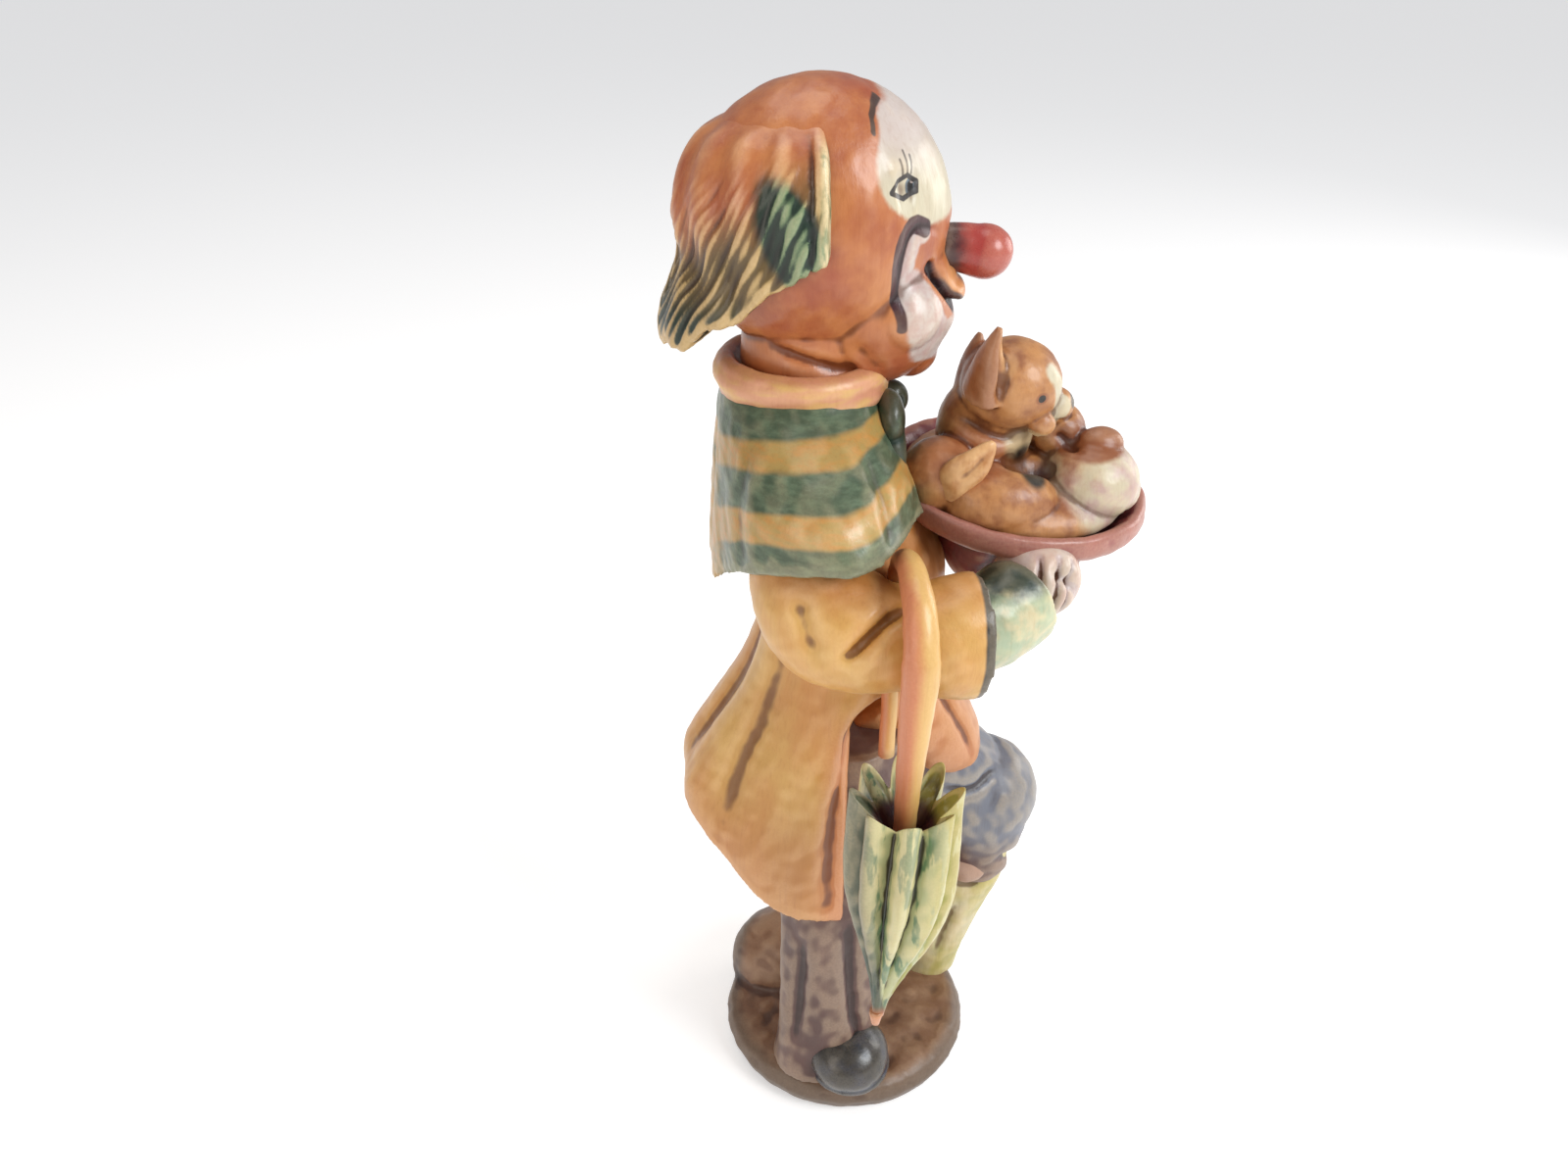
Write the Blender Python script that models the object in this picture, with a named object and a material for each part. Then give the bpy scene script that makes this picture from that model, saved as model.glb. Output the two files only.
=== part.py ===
"""A carved and painted wood clown who holds puppies in an upturned hat, with an umbrella on his arm.

He faces +X with his left hand towards +Y, and stands on a round base whose underside is at z = 0.
Lengths are in metres. The carving is laid out on a grid of its own height: see UNIT.
"""

import math

import bmesh
import bpy
import numpy as np
from mathutils import Matrix, Vector

# Driving sizes of the whole piece
FIGURE_HEIGHT = 0.144
BASE_RADIUS = 0.0198
BASE_HEIGHT = 0.006
BASE_ROUNDING = 0.0020
BASE_WIDTH_SHARE = 0.955

# The hat, held upside down like a bowl
BRIM_HALF_LENGTH = 0.0172
BRIM_HALF_WIDTH = 0.0146
CROWN_DEPTH = 0.0125

# The umbrella and the forearm that it hangs on
FOREARM_HALF_WIDTH = 0.0063
FOREARM_HALF_HEIGHT = 0.0062
HANDLE_RADIUS = 0.0022
CROOK_END_RADIUS = 0.0011
CROOK_END_DROP = 0.0245
HANDLE_DROP = 0.019
CANOPY_LENGTH = 0.037
CANOPY_RADIUS = 0.0068
FERRULE_LENGTH = 0.002
TIP_HEIGHT = 0.0034
HOLLOW_DEPTH = 0.0058
FLUTES = 8
FLUTE_DEPTH_SHARE = 0.42
FIT_GAP = 0.0003

# One grid unit of the carving is a share of the figure's height above its base
UNIT = FIGURE_HEIGHT / 144.0

# Fineness of the carved skin
CARVING_GRAIN = 0.55 * UNIT
UMBRELLA_GRAIN = 0.38 * UNIT
CARVING_FACES_KEPT = 0.033
UMBRELLA_FACES_KEPT = 0.04
RING_POINTS = 40


def clear_scene():
    """Take out whatever the file holds."""
    for item in list(bpy.data.objects):
        bpy.data.objects.remove(item, do_unlink=True)


def paint(name, colour, roughness):
    """A satin wood paint."""
    material = bpy.data.materials.new(name)
    material.use_nodes = True
    shader = material.node_tree.nodes["Principled BSDF"]
    shader.inputs["Base Color"].default_value = (*colour, 1.0)
    shader.inputs["Roughness"].default_value = roughness
    shader.inputs["Metallic"].default_value = 0.0
    return material


def place(x, y, z):
    """A point of the carving's grid, whose floor is the top of the base."""
    return Vector((x * UNIT, y * UNIT, BASE_HEIGHT + z * UNIT))


def smooth_rows(rows, count):
    """Read evenly spaced rows from a smooth curve through the given rows of numbers."""
    rows = np.array(rows, dtype=float)
    padded = np.vstack([2 * rows[0] - rows[1], rows, 2 * rows[-1] - rows[-2]])
    spans = len(rows) - 1
    result = []
    for step in range(count):
        along = step / (count - 1) * spans
        index = min(int(along), spans - 1)
        f = along - index
        a, b, c, d = padded[index:index + 4]
        point = b + 0.5 * f * (c - a + f * (2 * a - 5 * b + 4 * c - d + f * (3 * (b - c) + d - a)))
        result.append(point)
    return result


def ease(low, high, value):
    """Rise smoothly from 0 at low to 1 at high."""
    f = min(1.0, max(0.0, (value - low) / (high - low)))
    return f * f * (3 - 2 * f)


def bump(value, centre, width):
    """A smooth hill of height 1 at the centre."""
    return math.exp(-((value - centre) / width) ** 2)


def join_rings(bm, rings):
    """Bridge each ring of points to the next, and close both ends."""
    for lower, upper in zip(rings, rings[1:]):
        edges = ring_edges(lower) + ring_edges(upper)
        bmesh.ops.bridge_loops(bm, edges=edges)
    for ring in (rings[0], rings[-1]):
        bmesh.ops.contextual_create(bm, geom=ring_edges(ring))


def ring_edges(ring):
    members = set(ring)
    return list({e for v in ring for e in v.link_edges if e.other_vert(v) in members})


def stack(bm, rows, reshape=None, count=24):
    """Loft level rings. Each row gives x, y, z, half depth and half width on the grid."""
    rings = []
    smooth = smooth_rows(rows, count)
    for index, (x, y, z, depth, width) in enumerate(smooth):
        matrix = Matrix.Translation(place(x, y, z)) @ Matrix.Diagonal((depth * UNIT, width * UNIT, 1, 1))
        ring = bmesh.ops.create_circle(bm, segments=RING_POINTS, radius=1.0, matrix=matrix)["verts"]
        if reshape:
            for vert in ring:
                vert.co = reshape(vert.co, place(x, y, z), index / (count - 1))
        rings.append(ring)
    join_rings(bm, rings)


def limb(bm, rows, count=24, up=(0, 0, 1)):
    """Sweep a round section. Each row gives x, y, z, half thickness across and half thickness up."""
    smooth = smooth_rows(rows, count)
    centres = [place(*row[:3]) for row in smooth]
    rings = []
    for index, row in enumerate(smooth):
        ahead = centres[min(index + 1, count - 1)] - centres[max(index - 1, 0)]
        ahead.normalize()
        across = Vector(up).cross(ahead).normalized()
        above = ahead.cross(across)
        turn = Matrix((across, above, ahead)).transposed().to_4x4()
        scale = Matrix.Diagonal((row[3] * UNIT, row[4] * UNIT, 1, 1))
        matrix = Matrix.Translation(centres[index]) @ turn @ scale
        rings.append(bmesh.ops.create_circle(bm, segments=24, radius=1.0, matrix=matrix)["verts"])
    join_rings(bm, rings)


def ball(bm, centre, radii, turn=(0, 0, 0), points=32):
    """A rounded mass with its half sizes along X, Y and Z, turned by degrees about those axes."""
    angles = [math.radians(a) for a in turn]
    spin = Matrix.Rotation(angles[2], 4, "Z") @ Matrix.Rotation(angles[1], 4, "Y")
    spin = spin @ Matrix.Rotation(angles[0], 4, "X")
    matrix = Matrix.Translation(place(*centre)) @ spin @ Matrix.Diagonal([r * UNIT for r in radii] + [1])
    made = bmesh.ops.create_uvsphere(bm, u_segments=points, v_segments=points // 2, radius=1.0, matrix=matrix)
    return made["verts"]


def base(bm):
    """The round base, a low mound that runs on below z = 0, where it is cut flat."""
    profile = [
        (-BASE_HEIGHT, BASE_ROUNDING),
        (0.0, BASE_ROUNDING),
        (BASE_HEIGHT * 0.25, BASE_ROUNDING * 0.3),
        (BASE_HEIGHT * 0.55, 0.0),
        (BASE_HEIGHT * 0.85, BASE_ROUNDING * 0.35),
        (BASE_HEIGHT, BASE_ROUNDING),
        (BASE_HEIGHT + 0.0012, BASE_RADIUS * 0.45),
        (BASE_HEIGHT + 0.0018, BASE_RADIUS * 0.9),
    ]
    rings = []
    for height, inset in profile:
        radius = BASE_RADIUS - inset
        matrix = Matrix.Translation((0, 0, height)) @ Matrix.Diagonal((1.0, BASE_WIDTH_SHARE, 1.0, 1.0))
        rings.append(bmesh.ops.create_circle(bm, segments=48, radius=radius, matrix=matrix)["verts"])
    join_rings(bm, rings)
    # The ground rises behind the legs
    rise = BASE_RADIUS / 19.8
    for centre, radii in (((-8.5, 8.6, 0.5), (10.0, 8.6, 9.6)), ((4.5, 9.5, 0), (8.5, 7.2, 5.2))):
        place_at = Vector((centre[0] * rise, centre[1] * rise, BASE_HEIGHT + centre[2] * rise))
        matrix = Matrix.Translation(place_at) @ Matrix.Diagonal([r * rise for r in radii] + [1])
        bmesh.ops.create_uvsphere(bm, u_segments=32, v_segments=20, radius=1.0, matrix=matrix)


def right_leg(bm):
    """The standing leg, a wide trouser leg that spreads over the shoe."""
    def folds(point, centre, along):
        out = point - centre
        angle = math.atan2(out.y, out.x)
        flare = 0.10 * ease(0.55, 1.0, 1 - along) * math.cos(3 * angle + 2.4)
        return centre + out * (1 + flare + 0.03 * math.sin(5 * angle + 9 * along))

    stack(bm, [
        (-4.4, -10.8, 0.4, 8.0, 7.6),
        (-4.4, -10.2, 5, 7.6, 7.0),
        (-4.4, -9.4, 16, 7.3, 6.4),
        (-4.0, -8.6, 30, 7.6, 6.8),
        (-2.6, -6.5, 48, 8.6, 7.6),
        (-2.0, -4.0, 60, 8.6, 8.0),
        (-1.0, -2.0, 70, 8.6, 8.6),
    ], folds)
    ball(bm, (-1.4, -14.5, 4.0), (6.2, 6.4, 5.1))


def left_leg(bm):
    """The leg in front: a full knee, a deep fold below it, and the shin down to the base."""
    limb(bm, [
        (-2.0, 4.0, 56, 8.0, 8.0),
        (7.0, 5.5, 50, 8.2, 8.2),
        (15.5, 6.0, 42.5, 8.6, 8.6),
        (20.5, 6.0, 36, 8.4, 8.6),
        (21.0, 6.2, 26, 6.6, 6.6),
        (18.0, 7.2, 14, 5.6, 5.8),
        (15.5, 8.0, 4, 5.6, 6.0),
        (15.0, 8.2, 0, 5.6, 6.0),
    ], 32, up=(0, 1, 0))
    ball(bm, (21.2, 6.0, 38.2), (8.9, 8.6, 9.0))
    ball(bm, (17.6, 5.6, 46.2), (4.6, 4.4, 3.4))
    ball(bm, (14.5, 12.0, 3.2), (4.9, 8.0, 4.4), (0, 0, -12))


def coat(bm):
    """The long coat: narrow under the cape, wide at a hem that rises from front to back."""
    def skirt(point, centre, along):
        out = point - centre
        angle = math.atan2(out.y, out.x)
        wave = 0.035 * (1 - along) * math.cos(7 * angle)
        point = centre + out * (1 + wave)
        edge = place(-3.4 + 16.0 * ease(0.42, 0.62, along), 0, 0).x
        if point.x > edge:
            point.x = edge + 0.12 * (point.x - edge)
        x = point.x / UNIT
        hem = (33.6 + 0.164 * max(0.0, -x - 3.4) ** 1.5) * UNIT
        point.z += (hem - 33.6 * UNIT) * (1 - along) ** 2
        return point

    stack(bm, [
        (-9.6, 0, 33.6, 15.6, 17.2),
        (-9.4, 0, 42, 15.2, 17.2),
        (-7.2, 0, 54, 13.7, 16.0),
        (-3.8, 0, 66, 12.2, 14.4),
        (-1.6, 0, 76, 11.9, 13.6),
        (-1.2, 0, 85, 12.0, 13.2),
        (-4.0, 0, 94, 10.8, 13.0),
        (-7.0, 0, 104, 8.5, 9.5),
    ], skirt, 34)
    # The left front of the coat lies over the thigh
    limb(bm, [
        (2.0, 2.5, 64, 7.8, 8.6),
        (8.0, 3.4, 58.5, 7.4, 8.4),
        (13.2, 4.4, 52.0, 6.4, 7.6),
        (16.4, 5.2, 47.4, 4.2, 5.4),
    ], 12, up=(0, 1, 0))


def cape(bm):
    """The short cape, whose hem is low behind and lifted by the arms at the sides."""
    def hem(point, centre, along):
        out = point - centre
        angle = math.atan2(out.y, out.x)
        side = abs(math.sin(angle))
        lift = (12.6 * side ** 2 + 9.0 * ease(0.0, 1.0, math.cos(angle))) * UNIT
        point = centre + out * (1 + 0.02 * (1 - along) * math.cos(9 * angle))
        point.z += lift * (1 - along) ** 1.5
        return point

    stack(bm, [
        (-6.6, 0, 83.4, 13.2, 24.9),
        (-6.8, 0, 88.0, 12.9, 24.8),
        (-7.3, 0, 95.0, 12.0, 23.2),
        (-8.1, 0, 101.5, 10.7, 18.8),
        (-8.5, 0, 107.6, 9.7, 12.6),
        (-8.0, 0, 112.0, 8.8, 9.0),
    ], hem)


def collar(bm):
    """The rolled collar and the neck that stands in it."""
    stack(bm, [
        (-8.0, 0, 107.6, 8.6, 9.0),
        (-8.0, 0, 109.4, 10.2, 10.6),
        (-8.1, 0, 111.4, 10.4, 10.8),
        (-8.1, 0, 113.0, 8.6, 9.0),
    ], None, 12)
    limb(bm, [(-8.0, 0, 106, 8.0, 8.0), (-7.4, 0, 113, 8.0, 8.0), (-6.5, 0, 120, 8.6, 8.6)], 10, up=(1, 0, 0))


def bow(bm):
    """The bow under the chin: a knot and two full loops that hang down the chest."""
    ball(bm, (2.6, 0, 106.6), (2.2, 2.2, 2.2))
    for side in (-1, 1):
        ball(bm, (1.6, side * 5.0, 106.0), (1.9, 4.2, 3.6), (side * 28, 0, 0))
        ball(bm, (1.8, side * 7.4, 102.4), (1.8, 1.9, 4.4), (side * 12, 0, 0))


def arm(bm, side):
    """One arm: a full sleeve, its rim, the cuff inside it and the glove under the hat."""
    wide = FOREARM_HALF_WIDTH / UNIT
    tall = FOREARM_HALF_HEIGHT / UNIT
    limb(bm, [
        (-7.0, side * 9.5, 93.0, 6.6, 6.6),
        (-8.4, side * 14.4, 90.2, 7.2, 7.8),
        (-6.8, side * 18.4, 87.4, 7.2, 8.2),
        (-2.4, side * 20.8, 86.2, 6.8, 7.2),
        (2.1, side * 21.4, 85.8, wide, tall),
        (6.5, side * 21.2, 85.4, 6.7, 7.4),
        (10.2, side * 20.6, 85.2, 6.8, 7.9),
    ], 30)
    limb(bm, [
        (8.0, side * 20.6, 85.6, 5.2, 6.0),
        (12.8, side * 19.2, 86.4, 5.2, 5.9),
        (16.6, side * 16.8, 87.8, 4.9, 5.4),
    ], 10)
    ball(bm, (19.4, side * 13.0, 88.0), (5.6, 5.0, 5.0), (0, -20, side * 30))
    for finger in range(4):
        reach = finger * 2.2
        limb(bm, [
            (16.4 + reach, side * (12.8 - 0.5 * finger), 85.0, 1.4, 1.6),
            (17.4 + reach, side * (12.4 - 0.6 * finger), 88.6, 1.4, 1.5),
            (18.0 + reach, side * (12.0 - 0.7 * finger), 91.6, 1.1, 1.2),
        ], 8, up=(1, 0, 0))


def head(bm):
    """The big round head, leaning back, its face a blunt wedge, with the small jaw under it."""
    skull = ball(bm, (-6.4, 0, 128.6), (15.0, 12.3, 15.2), points=64)
    jaw = ball(bm, (-0.2, 0, 119.8), (10.2, 9.4, 10.4))
    for vert in (*skull, *jaw):
        x, _, z = (vert.co - place(0, 0, 0)) / UNIT
        vert.co.y *= 1 - 0.17 * ease(-3.0, 7.0, x) * ease(117.0, 124.0, z)
    ball(bm, (4.7, 0, 113.2), (3.5, 4.2, 3.3))
    ball(bm, (7.6, 0, 120.2), (3.4, 4.8, 2.6))
    ball(bm, (7.0, 0, 116.6), (2.4, 3.4, 1.7))
    for side in (-1, 1):
        ball(bm, (2.6, side * 6.0, 119.6), (4.6, 4.0, 4.6))
    limb(bm, [(8.0, 0, 125.2, 2.2, 2.2), (10.4, 0, 124.9, 2.7, 2.8), (13.2, 0, 124.4, 3.15, 3.15)], 8)
    ball(bm, (13.0, 0, 124.4), (3.2, 3.15, 3.15))


def hair(bm):
    """The fringe of hair round the back, thick at its front edges and flicked out at its tips."""
    skin = 0.90
    verts = ball(bm, (-6.6, 0, 128.4), (15.0, 12.6, 15.1), points=128)
    centre = place(-6.6, 0, 128.4)
    for vert in verts:
        out = vert.co - centre
        x, y, z = (c / UNIT for c in out)
        behind = ease(0.5, -0.2, x)
        floor = max(-9.6, -1.0 + 0.66 * x)
        low = ease(floor - 0.8, floor, z)
        crown = ease(12.5, 7.0, z)
        lock = 0.030 * math.cos(17 * math.atan2(y, x) + 0.3 * z)
        flick = 0.42 * bump(z, -9.6, 3.8) * ease(-3.0, -11.0, x)
        waist = -0.05 * bump(z, -2.5, 3.0) * ease(-6.0, -13.0, x)
        edge = 0.035 * bump(x, -0.6, 1.2) * ease(11.5, 7.0, z)
        swell = 1.03 + 0.055 * crown + edge + flick + waist + lock * crown
        vert.co = centre + out * (skin + (swell - skin) * behind * low)


def hat(bm):
    """The upturned hat: a tapering crown below and an oval, dished brim with a rolled lip."""
    crown = CROWN_DEPTH / UNIT
    length = BRIM_HALF_LENGTH / UNIT
    width = BRIM_HALF_WIDTH / UNIT
    middle = place(19.6, 0, 94.4)
    # Each level: height, share of the brim's size, and how far the level leans with the brim
    profile = [
        (-crown, 0.40, 0.2),
        (-crown + 0.7, 0.47, 0.2),
        (-crown * 0.62, 0.57, 0.4),
        (-crown * 0.34, 0.68, 0.8),
        (-2.9, 0.78, 1.0),
        (-2.0, 0.91, 1.0),
        (-1.0, 0.985, 1.0),
        (0.4, 1.0, 1.0),
        (1.4, 0.985, 1.0),
        (1.5, 0.93, 1.0),
        (0.4, 0.86, 1.0),
    ]
    rings = []
    for height, share, lean in profile:
        tilt = Matrix.Rotation(math.radians(9.0 * lean), 4, "X") @ Matrix.Rotation(math.radians(7.5 * lean), 4, "Y")
        scale = Matrix.Diagonal((length * share * UNIT, width * share * UNIT, UNIT, 1))
        matrix = Matrix.Translation(middle + Vector((0, 0, height * UNIT))) @ tilt @ scale
        rings.append(bmesh.ops.create_circle(bm, segments=RING_POINTS, radius=1.0, matrix=matrix)["verts"])
    join_rings(bm, rings)


def puppies(bm):
    """Three puppies packed in the hat: one sits up, one looks out in front, one curls at the near side."""
    ball(bm, (19.2, -0.4, 95.4), (14.4, 12.2, 4.2), (9, 7, 0))
    # The one that sits up, with its muzzle forward and its ear up
    ball(bm, (15.0, 0.6, 102.0), (6.0, 6.2, 7.0))
    ball(bm, (17.2, -1.6, 108.8), (6.2, 5.8, 5.7))
    ball(bm, (22.2, -1.4, 105.8), (3.2, 2.8, 2.5))
    for side, tip in ((-1, 117.4), (1, 114.0)):
        limb(bm, [
            (13.4, -1.6 + side * 2.8, tip - 8.0, 2.4, 3.4),
            (13.4, -1.8 + side * 3.8, tip - 4.0, 1.6, 2.4),
            (14.0, -2.0 + side * 4.2, tip, 0.8, 1.0),
        ], 8, up=(0, 1, 0))
    # The one in front, its chin on the brim
    ball(bm, (28.0, -4.0, 96.8), (6.0, 6.0, 5.2), (0, 6, 0))
    ball(bm, (31.2, -3.4, 95.4), (3.4, 4.2, 3.2))
    ball(bm, (28.8, -3.4, 101.2), (2.9, 2.4, 2.2))
    ball(bm, (24.4, 0.6, 101.6), (3.6, 3.8, 3.6))
    # The one at the near side, curled, with an ear across its back
    ball(bm, (8.6, -4.6, 98.4), (4.9, 5.0, 4.8))
    ball(bm, (15.6, -7.6, 96.0), (7.4, 4.8, 4.6), (0, 6, 0))
    limb(bm, [
        (9.0, -9.0, 100.0, 1.2, 1.9),
        (11.2, -9.8, 101.8, 1.2, 1.9),
        (13.0, -9.8, 104.4, 0.6, 0.9),
    ], 8)


def crook_points():
    """Centre line of the umbrella's handle, from inside the canopy over the forearm to the crook's end."""
    arm_x = 2.1 * UNIT
    arm_y = -21.4 * UNIT
    arm_z = BASE_HEIGHT + 85.8 * UNIT
    near = arm_y - FOREARM_HALF_WIDTH - FIT_GAP - HANDLE_RADIUS
    far = arm_y + FOREARM_HALF_WIDTH + FIT_GAP + CROOK_END_RADIUS
    bend = (far - near) / 2
    middle = (far + near) / 2
    spring = arm_z + FOREARM_HALF_HEIGHT + FIT_GAP + HANDLE_RADIUS - bend + 0.0006
    rim = spring - HANDLE_DROP
    points = [((arm_x - 0.0008, near, rim - CANOPY_LENGTH * 0.3), 0.6 * HANDLE_RADIUS)]
    points.append(((arm_x - 0.0006, near, rim), 0.66 * HANDLE_RADIUS))
    points.append(((arm_x - 0.0003, near, spring - HANDLE_DROP * 0.45), 0.84 * HANDLE_RADIUS))
    for step in range(13):
        angle = math.pi * step / 12
        thick = HANDLE_RADIUS + (CROOK_END_RADIUS - HANDLE_RADIUS) * step / 12
        y = middle - bend * math.cos(angle)
        points.append(((arm_x, y, spring + bend * math.sin(angle)), thick))
    points.append(((arm_x, far, spring - CROOK_END_DROP * 0.5), CROOK_END_RADIUS))
    points.append(((arm_x, far, spring - CROOK_END_DROP), CROOK_END_RADIUS))
    return points


def handle(bm, extra):
    """The crook handle, swept along its centre line. Extra thickness makes the room that it needs."""
    points = crook_points()
    centres = [Vector(p) for p, _ in points]
    rings = []
    for index, (_, thick) in enumerate(points):
        ahead = centres[min(index + 1, len(points) - 1)] - centres[max(index - 1, 0)]
        across = Vector((1, 0, 0))
        above = ahead.cross(across).normalized()
        turn = Matrix((across, above, across.cross(above))).transposed().to_4x4()
        scale = Matrix.Diagonal((thick + extra, thick + extra, 1, 1))
        matrix = Matrix.Translation(centres[index]) @ turn @ scale
        rings.append(bmesh.ops.create_circle(bm, segments=20, radius=1.0, matrix=matrix)["verts"])
    join_rings(bm, rings)


def canopy(bm):
    """The furled canopy, point down: eight flutes that end in tips round a hollow rim."""
    (x, y, top), _ = crook_points()[1]
    rings = []
    levels = 22
    for step in range(levels + 4):
        fall = min(step, levels) / levels
        inner = max(0, step - levels) / 3
        t = 1 - fall
        centre = Vector((x - 0.002 * t, y + 0.0006 * t, top - CANOPY_LENGTH * t))
        matrix = Matrix.Translation(centre)
        ring = bmesh.ops.create_circle(bm, segments=64, radius=1.0, matrix=matrix)["verts"]
        for vert in ring:
            out = vert.co - centre
            angle = math.atan2(out.y, out.x)
            flute = (0.5 + 0.5 * math.cos(FLUTES * angle + 0.6)) ** 0.6
            depth = FLUTE_DEPTH_SHARE * ease(0.0, 0.35, fall)
            swell = (0.10 + 0.90 * ease(0.0, 0.8, fall)) * (1 - depth * (1 - flute))
            lobe = 0.35 * bump(angle, -0.25, 0.5) * bump(fall, 0.45, 0.3)
            radius = CANOPY_RADIUS * (swell + lobe) * (1 - inner) + 0.4 * HANDLE_RADIUS * inner
            tip = TIP_HEIGHT * flute * ease(0.6, 1.0, fall) * (1 - inner ** 2)
            height = tip - HOLLOW_DEPTH * inner ** 0.6
            vert.co = centre + Vector((math.cos(angle) * radius, math.sin(angle) * radius, height))
        rings.append(ring)
    join_rings(bm, rings)
    foot = Vector((x - 0.002, y + 0.0006, top - CANOPY_LENGTH - FERRULE_LENGTH))
    rings = []
    for height, radius in ((0, 0.0005), (FERRULE_LENGTH * 0.5, 0.0007), (FERRULE_LENGTH + 0.002, 0.001)):
        matrix = Matrix.Translation(foot + Vector((0, 0, height)))
        rings.append(bmesh.ops.create_circle(bm, segments=16, radius=radius, matrix=matrix)["verts"])
    join_rings(bm, rings)


def finish_object(name, bm, material):
    """Put the joined forms in the scene under a name."""
    bmesh.ops.recalc_face_normals(bm, faces=bm.faces)
    mesh = bpy.data.meshes.new(name)
    bm.to_mesh(mesh)
    bm.free()
    item = bpy.data.objects.new(name, mesh)
    bpy.context.scene.collection.objects.link(item)
    mesh.materials.append(material)
    return item


def carve_skin(item, grain, share, cuts):
    """Fuse the overlapping forms into one skin, cut the gouge strokes into it, and keep few faces."""
    fuse = item.modifiers.new("Fuse", "REMESH")
    fuse.mode = "VOXEL"
    fuse.voxel_size = grain
    fuse.use_smooth_shade = True
    soften = item.modifiers.new("Soften", "SMOOTH")
    soften.factor = 0.5
    soften.iterations = 3
    view = bpy.context.evaluated_depsgraph_get()
    skin = bpy.data.meshes.new_from_object(item.evaluated_get(view))
    item.modifiers.clear()
    rough = item.data
    item.data = skin
    bpy.data.meshes.remove(rough)
    bm = bmesh.new()
    bm.from_mesh(skin)
    bm.normal_update()
    for points, width, depth in cuts:
        gouge(bm, points, width, depth)
    bm.to_mesh(skin)
    bm.free()
    facets = item.modifiers.new("Facets", "DECIMATE")
    facets.ratio = share


def gouge(bm, points, width, depth):
    """Sink a rounded groove along the skin nearest to a line of grid points. It fades towards both ends."""
    line = smooth_rows(points, 4 * len(points))
    coordinates = np.array([v.co for v in bm.verts])
    path = np.array([place(*p) for p in line])
    path = np.array([coordinates[np.linalg.norm(coordinates - p, axis=1).argmin()] for p in path])
    path[1:-1] = (path[:-2] + path[1:-1] + path[2:]) / 3
    reach = 2.2 * width * UNIT
    inside = np.all((coordinates > path.min(0) - reach) & (coordinates < path.max(0) + reach), axis=1)
    bm.verts.ensure_lookup_table()
    for index in np.flatnonzero(inside):
        vert = bm.verts[index]
        away = np.linalg.norm(path - coordinates[index], axis=1)
        nearest = int(away.argmin())
        along = nearest / (len(path) - 1)
        fade = min(1.0, 0.35 + 2.4 * min(along, 1 - along))
        vert.co = vert.co - vert.normal * (depth * UNIT * fade * bump(away[nearest] / UNIT, 0.0, width))


def carving_strokes():
    """The gouge strokes that show from a step away: line of points, half width and depth on the grid."""
    strokes = []
    for side in (-1, 1):
        # Mouth slit, eye socket, nostril fold and the edge of the jaw
        strokes.append(([(10.6, 0, 118.4), (9.4, side * 3.0, 118.6), (7.2, side * 5.4, 120.6)], 0.8, 1.1))
        strokes.append(([(0.4, side * 9.4, 133.2), (3.6, side * 8.2, 133.0)], 2.2, 0.5))
        strokes.append(([(8.8, side * 2.6, 123.6), (9.6, side * 2.8, 125.4), (8.8, side * 2.2, 127.4)], 0.9, 0.5))
        strokes.append(([(-3.4, side * 10.0, 118.0), (1.0, side * 8.6, 112.4)], 1.2, 0.5))
        # Sleeve folds at the elbow
        strokes.append(([(-5.2, side * 27.0, 87.4), (-2.4, side * 27.0, 90.4), (0.6, side * 25.6, 93.4)], 1.0, 1.4))
        # Coat folds from under the cape to the hem
        strokes.append(([(-15.0, side * 11.6, 76), (-19.0, side * 12.6, 62), (-20.6, side * 13.2, 52)], 1.6, 0.8))
        strokes.append(([(2.0, side * 14.0, 72), (-4.4, side * 15.4, 56), (-5.4, side * 16.4, 42)], 1.2, 0.7))
        # Cape pleats over the shoulder
        strokes.append(([(-3.0, side * 12.0, 104), (1.0, side * 19.0, 98)], 1.6, 0.5))
        strokes.append(([(-13.0, side * 10.0, 103), (-16.4, side * 15.0, 92)], 1.6, 0.5))
    strokes.append(([(-18.4, 0, 104), (-19.8, 0, 88)], 1.8, 0.6))
    strokes.append(([(-21.5, 0, 76), (-23.6, 0, 58)], 1.8, 0.8))
    # The deep fold under the knee
    strokes.append(([(24.0, -0.6, 29.0), (27.4, 3.6, 25.6), (27.6, 8.6, 24.6), (24.6, 12.2, 26.0)], 1.5, 1.8))
    strokes.append(([(17.4, 0.6, 29.6), (19.0, -0.4, 26.0), (22.4, 0.2, 22.8)], 1.1, 0.9))
    # Folds of the standing leg
    strokes.append(([(-2.0, -16.4, 30), (-0.6, -16.6, 16), (1.2, -17.0, 6)], 1.2, 0.8))
    strokes.append(([(-9.0, -14.0, 26), (-10.0, -15.0, 8)], 1.2, 0.8))
    # A dent in the hat's crown
    strokes.append(([(12.0, -8.0, 84.6), (20.0, -10.6, 86.4), (27.0, -8.0, 86.0)], 1.2, 0.4))
    return strokes


def cut_away(item, name, bm, material):
    """Cut the form in bm out of an item."""
    cutter = finish_object(name, bm, material)
    cutter.hide_render = True
    cutter.display_type = "WIRE"
    cut = item.modifiers.new(name, "BOOLEAN")
    cut.operation = "DIFFERENCE"
    cut.solver = "EXACT"
    cut.object = cutter


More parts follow.
